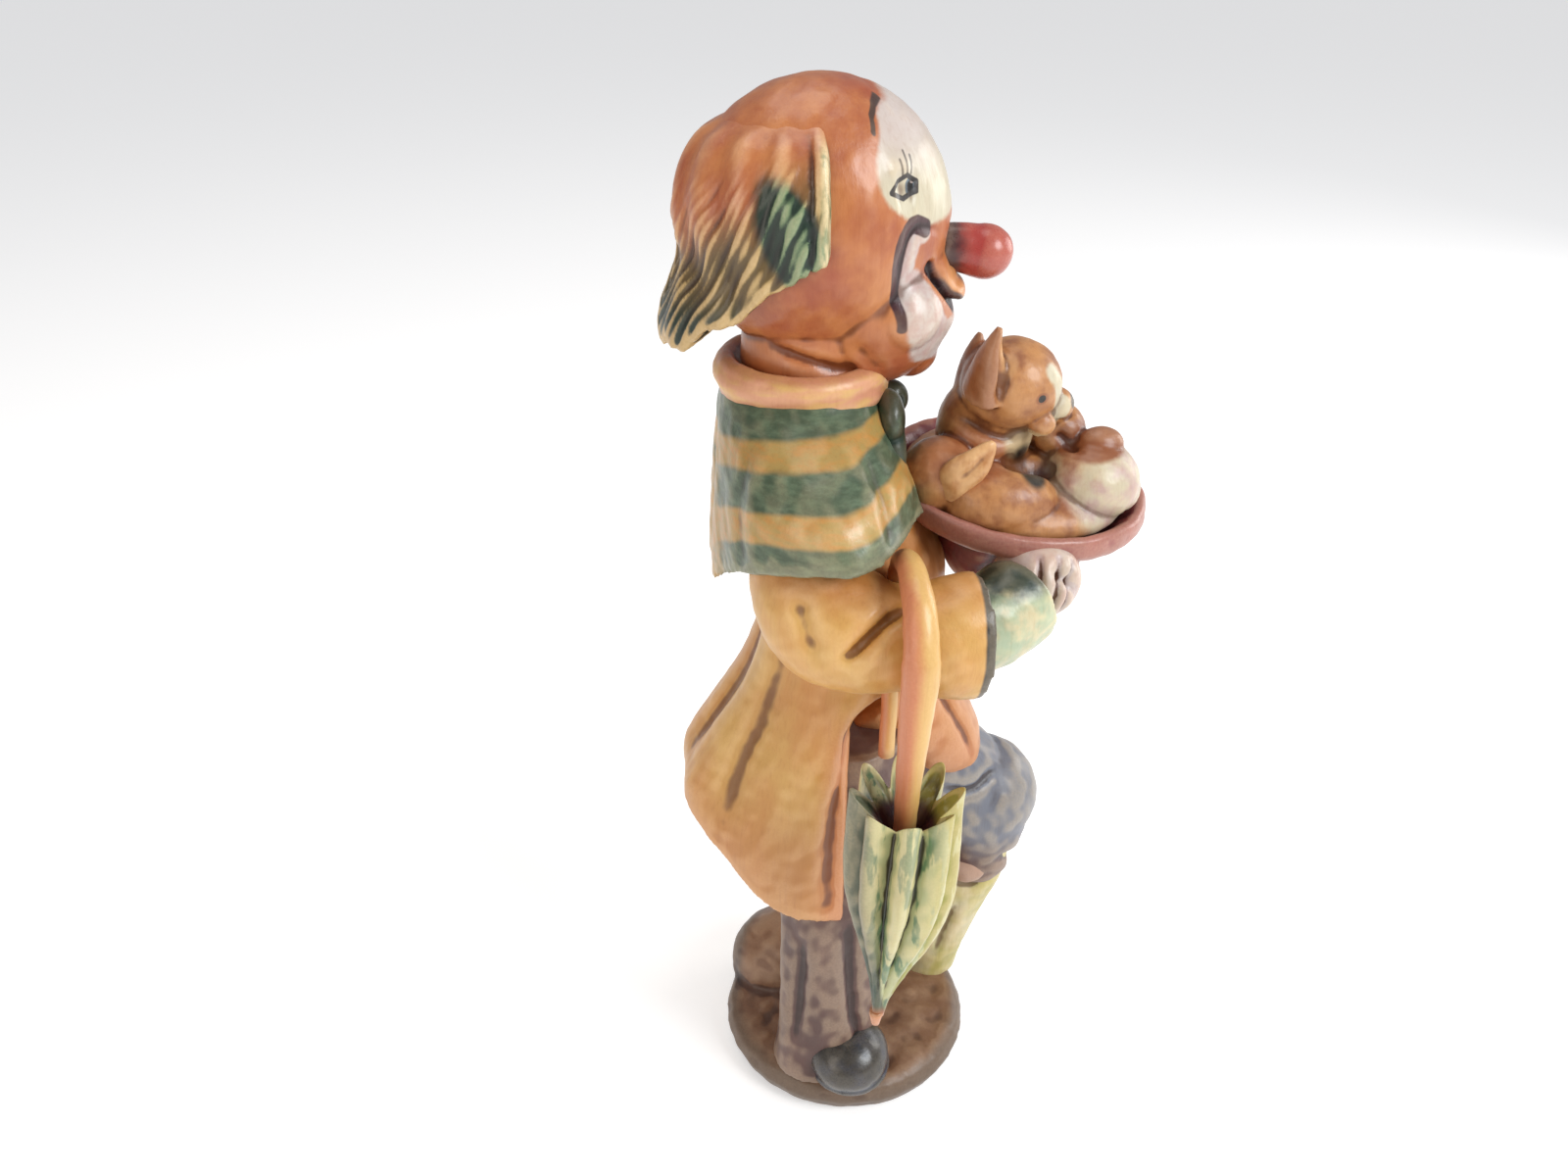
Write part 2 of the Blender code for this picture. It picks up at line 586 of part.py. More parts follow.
def build_clown():
    bm = bmesh.new()
    base(bm)
    right_leg(bm)
    left_leg(bm)
    coat(bm)
    cape(bm)
    collar(bm)
    bow(bm)
    for side in (-1, 1):
        arm(bm, side)
    head(bm)
    hair(bm)
    hat(bm)
    puppies(bm)
    clown = finish_object("carved_clown", bm, paint("clown_paint", (0.62, 0.31, 0.10), 0.38))
    carve_skin(clown, CARVING_GRAIN, CARVING_FACES_KEPT, carving_strokes())
    room = bmesh.new()
    bmesh.ops.create_cube(room, size=1.0, matrix=Matrix.Translation((0, 0, -0.5)))
    for vert in room.verts:
        vert.co = Vector((vert.co.x * 4 * BASE_RADIUS, vert.co.y * 4 * BASE_RADIUS, vert.co.z * 4 * BASE_HEIGHT))
    cut_away(clown, "below_the_base", room, clown.data.materials[0])
    room = bmesh.new()
    handle(room, FIT_GAP)
    cut_away(clown, "handle_room", room, clown.data.materials[0])
    return clown


def build_umbrella():
    bm = bmesh.new()
    handle(bm, 0.0)
    canopy(bm)
    umbrella = finish_object("umbrella", bm, paint("umbrella_paint", (0.35, 0.42, 0.22), 0.38))
    carve_skin(umbrella, UMBRELLA_GRAIN, UMBRELLA_FACES_KEPT, [])
    return umbrella


def main():
    clear_scene()
    build_clown()
    build_umbrella()


main()
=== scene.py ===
"""The looks of a carved and painted wood clown who holds puppies in his upturned hat.

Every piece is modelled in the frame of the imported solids: +X is the way the clown faces, +Y his left and
+Z up, in metres. The carving is laid out on a grid of millimetres whose floor is the top of the base.
"""

import math

import bmesh
import bpy
import numpy as np
from mathutils import Matrix, Vector


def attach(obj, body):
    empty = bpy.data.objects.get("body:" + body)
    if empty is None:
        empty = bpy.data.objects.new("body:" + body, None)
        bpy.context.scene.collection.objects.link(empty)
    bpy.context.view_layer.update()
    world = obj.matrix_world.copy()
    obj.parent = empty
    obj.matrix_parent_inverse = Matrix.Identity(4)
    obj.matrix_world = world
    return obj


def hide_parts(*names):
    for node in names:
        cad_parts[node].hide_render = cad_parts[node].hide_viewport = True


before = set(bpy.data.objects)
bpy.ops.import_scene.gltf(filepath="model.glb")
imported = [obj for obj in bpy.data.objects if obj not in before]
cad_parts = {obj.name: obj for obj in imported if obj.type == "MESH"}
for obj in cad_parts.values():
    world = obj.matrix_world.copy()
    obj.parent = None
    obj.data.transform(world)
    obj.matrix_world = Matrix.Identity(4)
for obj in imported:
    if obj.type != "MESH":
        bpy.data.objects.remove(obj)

bl_info = {
    "name": "Carved clown",
    "version": (1, 0, 0),
    "blender": (4, 5, 0),
    "location": "View3D > Sidebar > Carving",
    "description": "Models and paints a carved clown with puppies in his hat",
    "category": "Add Mesh",
}

CARVING = "carved_clown"
UMBRELLA = "umbrella"

# Grid units from the top of the base to the top of the carving
GRID_HEIGHT = 144.0


def sizes():
    return bpy.context.scene.clown_sizes


def colours():
    return bpy.context.scene.clown_colours


# Measures and shapes


def ease(low, high, value):
    """Rise smoothly from 0 at low to 1 at high."""
    f = np.clip((value - low) / (high - low), 0.0, 1.0)
    return f * f * (3 - 2 * f)


def bump(value, centre, width):
    """A smooth hill of height 1 at the centre."""
    return np.exp(-(((value - centre) / width) ** 2))


def unit():
    """One grid unit, a share of the figure's height above its base."""
    return sizes().figure_height / GRID_HEIGHT


def place(x, y, z):
    """A grid point in the frame."""
    return Vector((x * unit(), y * unit(), sizes().base_height + z * unit()))


def smooth_rows(rows, count):
    """Read evenly spaced rows from a smooth curve through the given rows of numbers."""
    rows = np.array(rows, dtype=float)
    padded = np.vstack([2 * rows[0] - rows[1], rows, 2 * rows[-1] - rows[-2]])
    spans = len(rows) - 1
    result = []
    for step in range(count):
        along = step / (count - 1) * spans
        index = min(int(along), spans - 1)
        f = along - index
        a, b, c, d = padded[index : index + 4]
        result.append(b + 0.5 * f * (c - a + f * (2 * a - 5 * b + 4 * c - d + f * (3 * (b - c) + d - a))))
    return result


def ring_edges(ring):
    members = set(ring)
    return list({e for v in ring for e in v.link_edges if e.other_vert(v) in members})


def join_rings(bm, rings):
    """Bridge each ring of points to the next, and close both ends."""
    for lower, upper in zip(rings, rings[1:]):
        bmesh.ops.bridge_loops(bm, edges=ring_edges(lower) + ring_edges(upper))
    for ring in (rings[0], rings[-1]):
        bmesh.ops.contextual_create(bm, geom=ring_edges(ring))


def circle(bm, matrix, points):
    return bmesh.ops.create_circle(bm, segments=points, radius=1.0, matrix=matrix)["verts"]


def stack(bm, rows, reshape=None, count=40, points=72):
    """Loft level rings. Each row gives x, y, z, half depth and half width on the grid."""
    rings = []
    for index, (x, y, z, depth, width) in enumerate(smooth_rows(rows, count)):
        centre = place(x, y, z)
        scale = Matrix.Diagonal((depth * unit(), width * unit(), 1, 1))
        ring = circle(bm, Matrix.Translation(centre) @ scale, points)
        if reshape:
            for vert in ring:
                vert.co = reshape(vert.co, centre, index / (count - 1))
        rings.append(ring)
    join_rings(bm, rings)


def limb(bm, rows, count=30, up=(0, 0, 1), points=40):
    """Sweep a round section. Each row gives x, y, z, half thickness across and half thickness up."""
    rows = smooth_rows(rows, count)
    centres = [place(*row[:3]) for row in rows]
    rings = []
    for index, row in enumerate(rows):
        ahead = centres[min(index + 1, count - 1)] - centres[max(index - 1, 0)]
        ahead.normalize()
        across = Vector(up).cross(ahead).normalized()
        turn = Matrix((across, ahead.cross(across), ahead)).transposed().to_4x4()
        scale = Matrix.Diagonal((row[3] * unit(), row[4] * unit(), 1, 1))
        rings.append(circle(bm, Matrix.Translation(centres[index]) @ turn @ scale, points))
    join_rings(bm, rings)


def ball(bm, centre, radii, turn=(0, 0, 0), points=48):
    """A rounded mass with its half sizes along X, Y and Z, turned by degrees about those axes."""
    angles = [math.radians(a) for a in turn]
    spin = Matrix.Rotation(angles[2], 4, "Z") @ Matrix.Rotation(angles[1], 4, "Y")
    spin = spin @ Matrix.Rotation(angles[0], 4, "X")
    matrix = Matrix.Translation(place(*centre)) @ spin @ Matrix.Diagonal([r * unit() for r in radii] + [1])
    made = bmesh.ops.create_uvsphere(bm, u_segments=points, v_segments=points // 2, radius=1.0, matrix=matrix)
    return made["verts"]


def add_piece(name, bm, node=CARVING):
    """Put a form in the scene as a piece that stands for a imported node."""
    bmesh.ops.recalc_face_normals(bm, faces=bm.faces)
    mesh = bpy.data.meshes.new(name)
    bm.to_mesh(mesh)
    bm.free()
    item = bpy.data.objects.new(name, mesh)
    bpy.context.scene.collection.objects.link(item)
    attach(item, "root")
    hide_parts(node)
    return item


def fuse(item, grain, passes):
    """Fuse overlapping forms into one even skin, and rub it smooth."""
    join = item.modifiers.new("Fuse", "REMESH")
    join.mode = "VOXEL"
    join.voxel_size = grain * unit()
    rub = item.modifiers.new("Rub", "SMOOTH")
    rub.factor = 0.5
    rub.iterations = passes
    view = bpy.context.evaluated_depsgraph_get()
    skin = bpy.data.meshes.new_from_object(item.evaluated_get(view))
    item.modifiers.clear()
    rough = item.data
    item.data = skin
    bpy.data.meshes.remove(rough)
    skin.name = item.name


# Carving with arrays, in grid units


class Skin:
    """A piece's points as arrays, carved like clay and then put back."""

    def __init__(self, item):
        self.item = item
        mesh = item.data
        count = len(mesh.vertices)
        flat = np.empty(count * 3, np.float64)
        mesh.vertices.foreach_get("co", flat)
        self.p = (flat.reshape(-1, 3) - [0, 0, sizes().base_height]) / unit()
        pairs = np.empty(len(mesh.edges) * 2, np.int64)
        mesh.edges.foreach_get("vertices", pairs)
        self.pairs = pairs.reshape(-1, 2)
        self.links = np.bincount(pairs, minlength=count).clip(1)
        self.renew()

    def renew(self):
        """Put the points back in the mesh and read the normals again."""
        mesh = self.item.data
        flat = self.p * unit() + [0, 0, sizes().base_height]
        mesh.vertices.foreach_set("co", flat.astype(np.float32).ravel())
        mesh.update()
        normals = np.empty(len(mesh.vertices) * 3, np.float32)
        mesh.vertex_normals.foreach_get("vector", normals)
        self.n = normals.reshape(-1, 3).astype(np.float64)

    @property
    def x(self):
        return self.p[:, 0]

    @property
    def y(self):
        return self.p[:, 1]

    @property
    def z(self):
        return self.p[:, 2]

    def averaged(self, values, passes):
        """Even out values between neighbouring points."""
        a, b = self.pairs[:, 0], self.pairs[:, 1]
        count = len(self.links)
        values = values.copy()
        for _ in range(passes):
            total = np.bincount(a, values[b], count) + np.bincount(b, values[a], count)
            values = 0.35 * values + 0.65 * total / self.links
        return values

    def smoothed(self, passes):
        return np.stack([self.averaged(self.p[:, i], passes) for i in range(3)], axis=1)

    def groove(self, points, width, depth, fade=0.35):
        """Sink a rounded groove along the skin nearest to a line of grid points, fading towards both ends."""
        reach = np.linalg.norm(np.diff(np.array(points, float), axis=0), axis=1).sum()
        path = np.array(smooth_rows(points, int(reach / 0.4) + 12))
        path = np.array([self.p[np.linalg.norm(self.p - p, axis=1).argmin()] for p in path])
        for _ in range(12):
            path[1:-1] = (path[:-2] + path[1:-1] + path[2:]) / 3
        amount = np.zeros(len(self.p))
        reach = 3 * width
        near = np.all((self.p > path.min(0) - reach) & (self.p < path.max(0) + reach), axis=1)
        index = np.flatnonzero(near)
        if len(index):
            away = np.linalg.norm(self.p[index][:, None, :] - path[None], axis=2)
            nearest = away.argmin(axis=1)
            along = nearest / (len(path) - 1)
            ends = np.minimum(1.0, fade + 3.0 * np.minimum(along, 1 - along))
            amount[index] = depth * ends * bump(away.min(axis=1), 0.0, width)
        return -amount

    def pair(self, points, width, depth, fade=0.35):
        """A groove on the left side and its mirror image on the right."""
        mirrored = [(x, -y, z) for x, y, z in points]
        return self.groove(mirrored, width, depth, fade) + self.groove(points, width, depth, fade)

    def note(self, name, values):
        """Keep a value per point for the paint."""
        layer = self.item.data.attributes.new(name, "FLOAT", "POINT")
        layer.data.foreach_set("value", np.asarray(values, np.float32))

    def finish(self, depth, reach=1.0):
        """Move along the normals by the depth, note hollows and crests for the paint, and shade smooth."""
        self.p = self.p + self.n * depth[:, None]
        self.renew()
        offset = np.zeros(len(self.p))
        for passes, gain in ((int(6 * reach), 9.0), (int(36 * reach), 2.4)):
            offset = offset + gain * np.einsum("ij,ij->i", self.p - self.smoothed(passes), self.n)
        offset = self.averaged(offset, 2)
        self.note("hollow", np.clip(-offset, 0, 1))
        self.note("crest", np.clip(offset, 0, 1))
        for polygon in self.item.data.polygons:
            polygon.use_smooth = True


def carve(name, bm, grain, passes):
    """Add a piece of the carving, fuse its forms and give its skin to work on."""
    item = add_piece(name, bm)
    fuse(item, grain, passes)
    return item, Skin(item)


def ripple(p, length, seed):
    """Gentle uneven waves of about the given length."""
    random = np.random.default_rng(seed)
    total = np.zeros(len(p))
    for _ in range(7):
        direction = random.normal(size=3)
        direction *= 2 * math.pi / length / np.linalg.norm(direction) * random.uniform(0.7, 1.4)
        total = total + np.sin(p @ direction + random.uniform(0, 6.28))
    return total / 3.7


def tool_marks(skin, depth=0.05, seed=1):
    """The faint flats that a gouge leaves under the paint."""
    wave = ripple(skin.p, 4.2, seed) + 0.6 * ripple(skin.p, 2.3, seed + 7)
    return depth * np.tanh(1.6 * wave)


# Legs and base


def build_base():
    """The round base, a low mound with the ground rising behind the legs."""
    s = sizes()
    bm = bmesh.new()
    profile = [
        (-s.base_height, s.base_rounding),
        (0.0, s.base_rounding),
        (s.base_height * 0.25, s.base_rounding * 0.3),
        (s.base_height * 0.55, 0.0),
        (s.base_height * 0.85, s.base_rounding * 0.35),
        (s.base_height, s.base_rounding),
        (s.base_height + 0.0012, s.base_radius * 0.45),
        (s.base_height + 0.0018, s.base_radius * 0.9),
    ]
    rings = []
    for height, inset in profile:
        radius = s.base_radius - inset
        scale = Matrix.Diagonal((radius, radius * s.base_width_share, 1.0, 1.0))
        rings.append(circle(bm, Matrix.Translation((0, 0, height)) @ scale, 96))
    join_rings(bm, rings)
    ball(bm, (-8.5, 8.6, 0.5), (10.0, 8.6, 9.6))
    ball(bm, (4.5, 9.5, 0), (8.5, 7.2, 5.2))
    item, skin = carve("base", bm, 0.41, 3)
    top = ease(-1.0, 0.5, skin.z)
    ground = 0.16 * ripple(skin.p * [1, 1, 0.5], 7.0, 11) + 0.05 * ripple(skin.p, 2.6, 12)
    skin.finish(tool_marks(skin, 0.07, 3) + top * ground - 0.12 * top)
    flatten(item)
    return item


def flatten(item):
    """Cut a piece flat at the floor."""
    bm = bmesh.new()
    bm.from_mesh(item.data)
    everything = bm.verts[:] + bm.edges[:] + bm.faces[:]
    cut = bmesh.ops.bisect_plane(
        bm, geom=everything, plane_co=(0, 0, 0), plane_no=(0, 0, -1), clear_outer=True
    )
    rim = [e for e in cut["geom_cut"] if isinstance(e, bmesh.types.BMEdge)]
    bmesh.ops.contextual_create(bm, geom=rim)
    bm.to_mesh(item.data)
    bm.free()


def build_right_leg():
    """The standing leg: a wide trouser leg that spreads over the shoe."""

    def folds(point, centre, along):
        out = point - centre
        angle = math.atan2(out.y, out.x)
        flare = 0.10 * ease(0.55, 1.0, 1 - along) * math.cos(3 * angle + 2.4)
        return centre + out * (1 + flare + 0.03 * math.sin(5 * angle + 9 * along))

    bm = bmesh.new()
    rows = [
        (-4.4, -10.8, 0.4, 8.0, 7.6),
        (-4.4, -10.2, 5, 7.6, 7.0),
        (-4.4, -9.4, 16, 7.3, 6.4),
        (-4.0, -8.6, 30, 7.6, 6.8),
        (-2.6, -6.5, 48, 8.6, 7.6),
        (-2.0, -4.0, 60, 8.6, 8.0),
    ]
    stack(bm, rows, folds, 60)
    item, skin = carve("right_trouser", bm, 0.39, 4)
    depth = tool_marks(skin, 0.06, 21)
    depth += skin.groove([(-2.0, -16.4, 32), (-0.6, -16.6, 18), (1.0, -17.0, 8)], 1.1, 0.9)
    depth += skin.groove([(-9.4, -14.4, 28), (-10.4, -15.4, 8)], 1.0, 0.8)
    depth += skin.groove([(3.4, -9.0, 30), (3.8, -8.4, 12)], 1.2, 0.7)
    depth += skin.groove([(-11.4, -8.4, 30), (-12.2, -8.6, 8)], 1.2, 0.7)
    skin.finish(depth)
    return item


def build_shoes():
    """Two blunt shoes whose toes show under the trousers."""
    bm = bmesh.new()
    ball(bm, (-1.4, -14.5, 4.0), (6.2, 6.4, 5.1))
    ball(bm, (-1.2, -14.0, 1.4), (6.4, 6.4, 2.2))
    ball(bm, (14.5, 12.0, 3.2), (4.9, 8.0, 4.4), (0, 0, -12))
    ball(bm, (14.5, 12.0, 1.2), (5.1, 8.1, 2.0), (0, 0, -12))
    item, skin = carve("shoes", bm, 0.34, 3)
    skin.finish(tool_marks(skin, 0.05, 31))
    return item


def build_left_leg():
    """The leg in front: a full knee, the trouser's opening under it, and the shin."""
    bm = bmesh.new()
    rows = [
        (-2.0, 4.0, 56, 8.0, 8.0),
        (7.0, 5.5, 50, 8.2, 8.2),
        (15.5, 6.0, 42.5, 8.6, 8.6),
        (20.5, 6.0, 36, 8.4, 8.6),
        (21.0, 6.2, 28, 7.0, 7.0),
        (20.2, 6.6, 24, 6.2, 6.2),
    ]
    limb(bm, rows, 40, up=(0, 1, 0))
    ball(bm, (21.2, 6.0, 38.2), (8.9, 8.6, 9.0))
    ball(bm, (17.6, 5.6, 46.2), (4.6, 4.4, 3.4))
    item, skin = carve("left_trouser", bm, 0.39, 4)
    depth = tool_marks(skin, 0.07, 41)
    opening = [(24.4, -0.4, 29.4), (27.2, 3.4, 26.4), (27.4, 8.6, 25.6), (24.6, 12.2, 27.0)]
    depth += skin.groove(opening, 1.2, 1.6)
    depth += skin.groove([(13.6, -1.4, 46.0), (17.0, -0.6, 44.4), (21.6, 1.0, 46.2)], 0.9, 0.8)
    depth += skin.groove([(10.0, -2.0, 40.0), (14.0, -2.0, 34.0)], 1.2, 0.6)
    skin.finish(depth)

    bm = bmesh.new()
    rows = [
        (20.8, 6.2, 31, 5.9, 5.9),
        (20.4, 6.4, 24, 6.2, 6.2),
        (18.0, 7.2, 14, 5.6, 5.8),
        (15.5, 8.0, 4, 5.6, 6.0),
        (15.0, 8.2, 0, 5.6, 6.0),
    ]
    limb(bm, rows, 30, up=(0, 1, 0))
    ball(bm, (19.4, 1.6, 26.8), (3.4, 2.6, 3.6))
    shin, skin = carve("left_shin", bm, 0.39, 4)
    depth = tool_marks(skin, 0.06, 43)
    rim = [(21.6, 0.0, 29.6), (23.2, 0.2, 26.4), (20.6, 0.2, 22.8), (17.0, 1.2, 23.0)]
    depth += skin.groove(rim, 0.8, 1.0)
    depth += skin.groove([(18.0, 1.2, 18), (15.4, 2.2, 6)], 1.0, 0.6)
    skin.finish(depth)
    return item, shin


# Clothes


def build_coat():
    """The long coat: narrow under the cape, wide at a hem that rises from front to back."""
    u = unit()

    def skirt(point, centre, along):
        out = point - centre
        angle = math.atan2(out.y, out.x)
        wave = 0.035 * (1 - along) * math.cos(7 * angle)
        point = centre + out * (1 + wave)
        edge = place(-3.4 + 16.0 * ease(0.42, 0.62, along), 0, 0).x
        if point.x > edge:
            point.x = edge + 0.12 * (point.x - edge)
        x = point.x / u
        hem = 0.164 * max(0.0, -x - 3.4) ** 1.5 * u
        point.z += hem * (1 - along) ** 2
        return point

    bm = bmesh.new()
    rows = [
        (-9.6, 0, 33.6, 15.6, 17.2),
        (-9.4, 0, 42, 15.2, 17.2),
        (-7.2, 0, 54, 13.7, 16.0),
        (-3.8, 0, 66, 12.2, 14.4),
        (-1.6, 0, 76, 11.9, 13.6),
        (-1.2, 0, 85, 12.0, 13.2),
        (-4.0, 0, 94, 10.8, 13.0),
        (-7.0, 0, 104, 8.5, 9.5),
    ]
    stack(bm, rows, skirt, 80, 120)
    rows = [
        (2.0, 2.5, 64, 7.8, 8.6),
        (8.0, 3.4, 58.5, 7.4, 8.4),
        (13.2, 4.4, 52.0, 6.4, 7.6),
        (16.4, 5.2, 47.4, 4.2, 5.4),
    ]
    limb(bm, rows, 24, up=(0, 1, 0))
    item, skin = carve("coat", bm, 0.44, 3)
    depth = tool_marks(skin, 0.06, 51)
    depth += skin.pair([(-15, 11.6, 78), (-19, 12.6, 62), (-20.6, 13.2, 52)], 1.7, 0.7)
    depth += skin.pair([(2, 14, 72), (-4.4, 15.4, 56), (-5.6, 16.4, 38)], 1.2, 0.7)
    depth += skin.groove([(-15.6, 0, 84), (-20.6, 0, 66), (-23.4, 0, 56)], 1.8, 0.9)
    depth += skin.groove([(9.6, -1.4, 66), (14.6, -2.0, 58), (17.0, -0.4, 51)], 1.0, 0.6)
    skin.finish(depth)
    return item


# The cape's heights at its hem behind and at its top, and the hem's lift over the arms and in front
CAPE_HEM = 83.4
CAPE_TOP = 112.0
LIFT_BESIDE = 12.6
LIFT_AHEAD = 9.0


def build_cape():
    """The short striped cape that lies over the shoulders."""
    u = unit()

    def drape(point, centre, along):
        out = point - centre
        angle = math.atan2(out.y, out.x)
        point = centre + out * (1 + 0.02 * (1 - along) * math.cos(9 * angle))
        lift = LIFT_BESIDE * np.sin(angle) ** 2 + LIFT_AHEAD * ease(0.0, 1.0, np.cos(angle))
        point.z += lift * u * (1 - along) ** 1.5
        return point

    bm = bmesh.new()
    rows = [
        (-6.6, 0, CAPE_HEM, 13.2, 24.9),
        (-6.8, 0, 88.0, 12.9, 24.8),
        (-7.3, 0, 95.0, 12.0, 23.2),
        (-8.1, 0, 101.5, 10.7, 18.8),
        (-8.5, 0, 107.6, 9.7, 12.6),
        (-8.0, 0, CAPE_TOP, 8.8, 9.0),
    ]
    stack(bm, rows, drape, 80, 140)
    item, skin = carve("cape", bm, 0.39, 3)
    depth = tool_marks(skin, 0.06, 61)
    depth += skin.pair([(-3, 12, 107), (0.4, 19, 102), (1.0, 22, 98)], 1.5, 0.4)
    depth += skin.pair([(-13.6, 11, 105), (-16.6, 15, 97), (-17, 17, 92)], 1.5, 0.5)
    depth += skin.groove([(-18.4, 0, 106), (-19.6, 0, 96), (-19.8, 0, 86)], 1.6, 0.6)
    skin.finish(depth)
    return item


def build_collar():
    """The rolled collar."""
    bm = bmesh.new()
    rows = [
        (-8.0, 0, 107.4, 9.0, 9.6),
        (-8.0, 0, 109.2, 10.2, 10.7),
        (-8.1, 0, 111.2, 10.6, 11.0),
        (-8.1, 0, 112.8, 10.0, 10.4),
        (-8.1, 0, 113.4, 8.8, 9.2),
        (-8.1, 0, 112.6, 7.8, 8.2),
    ]
    stack(bm, rows, None, 36, 96)
    item, skin = carve("collar", bm, 0.32, 2)
    angle = np.arctan2(skin.y, skin.x + 8.1)
    crease = 0.10 * np.sin(2.1 * skin.z + 1.5 * np.sin(2 * angle + 0.5))
    skin.finish(tool_marks(skin, 0.05, 71) + crease)
    return item


def build_bow():
    """The bow under the chin: a knot and two full loops that hang down the chest."""
    bm = bmesh.new()
    ball(bm, (2.9, 0, 106.8), (2.1, 2.1, 2.3))
    for side in (-1, 1):
        ball(bm, (1.8, side * 5.0, 106.2), (1.9, 4.2, 3.6), (side * 28, 0, 0))
        ball(bm, (2.0, side * 7.4, 102.6), (1.8, 1.9, 4.4), (side * 12, 0, 0))
    item, skin = carve("bow", bm, 0.24, 2)
    depth = tool_marks(skin, 0.04, 81)
    depth += skin.pair([(4.0, 2.0, 106.8), (4.2, 6.0, 104.6), (4.0, 7.8, 101)], 0.6, 0.7)
    depth += skin.pair([(4.2, 2.2, 107.4), (3.8, 5.4, 108.2)], 0.4, 0.4)
    skin.finish(depth)
    return item


# Where the umbrella hangs on the sleeve: how far forward, outward and up
FOREARM = (2.1, 21.4, 85.8)


def build_arm(side):
    """One arm: a full sleeve, the cuff inside it and the gloved hand under the hat."""
    s = sizes()
    name = "right" if side < 0 else "left"
    wide = s.forearm_half_width / unit()
    tall = s.forearm_half_height / unit()
    bm = bmesh.new()
    rows = [
        (-7.0, side * 9.5, 93.0, 6.6, 6.6),
        (-8.4, side * 14.4, 90.2, 7.2, 7.8),
        (-6.8, side * 18.4, 87.4, 7.2, 8.2),
        (-2.4, side * 20.8, 86.2, 6.8, 7.2),
        (FOREARM[0], side * FOREARM[1], FOREARM[2], wide, tall),
        (6.5, side * 21.2, 85.4, 6.7, 7.4),
        (10.2, side * 20.6, 85.2, 6.8, 7.9),
    ]
    limb(bm, rows, 60, points=64)
    sleeve, skin = carve(name + "_sleeve", bm, 0.34, 3)
    mouth = np.hypot((skin.y - side * 20.6), (skin.z - 85.2) * 0.86)
    scoop = ease(9.4, 10.0, skin.x) * ease(6.4, 4.4, mouth)
    depth = tool_marks(skin, 0.05, 91) - 1.4 * scoop
    crease = [(1.0, side * 25.6, 93.6), (-2.2, side * 27, 90.6), (-5.2, side * 27, 87.2)]
    depth += skin.groove(crease, 0.95, 1.5, 0.6)
    ridge = [(-0.4, side * 27.0, 91.6), (-2.0, side * 27.6, 88.6), (-3.6, side * 27, 86)]
    depth -= skin.groove(ridge, 0.8, 0.35)
    depth += skin.groove([(-10.4, side * 22.0, 92.4), (-8.6, side * 24.6, 86.6)], 1.2, 0.5)
    skin.finish(depth)

    bm = bmesh.new()
    rows = [
        (8.0, side * 20.6, 85.6, 5.2, 6.0),
        (12.2, side * 19.5, 86.2, 5.1, 5.8),
        (15.8, side * 17.5, 87.4, 5.3, 5.9),
        (16.9, side * 16.7, 87.8, 4.9, 5.5),
    ]
    limb(bm, rows, 30, points=64)
    cuff, skin = carve(name + "_cuff", bm, 0.29, 2)
    skin.finish(tool_marks(skin, 0.05, 95) - 0.05 * ripple(skin.p * [0.3, 1, 1], 1.6, 96))

    bm = bmesh.new()
    ball(bm, (19.4, side * 13.0, 88.0), (5.6, 5.0, 5.0), (0, -20, side * 30))
    for finger in range(4):
        reach = finger * 2.2
        rows = [
            (16.4 + reach, side * (12.8 - 0.5 * finger), 85.0, 1.4, 1.6),
            (17.4 + reach, side * (12.4 - 0.6 * finger), 88.6, 1.4, 1.5),
            (18.0 + reach, side * (12.0 - 0.7 * finger), 91.6, 1.1, 1.2),
        ]
        limb(bm, rows, 16, up=(1, 0, 0))
    glove, skin = carve(name + "_glove", bm, 0.24, 2)
    depth = tool_marks(skin, 0.04, 101)
    for gap in range(3):
        x = 17.6 + 2.2 * gap
        line = [(x, side * 16.6, 84.6), (x + 0.8, side * 17.6, 88.4), (x + 1.4, side * 15.6, 92.0)]
        depth += skin.groove(line, 0.5, 0.8)
    palm = [(20.6, side * 17.6, 91.6), (22.0, side * 17.0, 90.0), (23.2, side * 15.6, 87.6)]
    depth += skin.groove(palm, 0.9, 1.2)
    skin.finish(depth)
    return sleeve, cuff, glove


# Head

# The face is drawn unrolled round an upright axis at this x, on a cylinder of this radius
HEAD_AXIS = -6.4
HEAD_GIRTH = 12.3


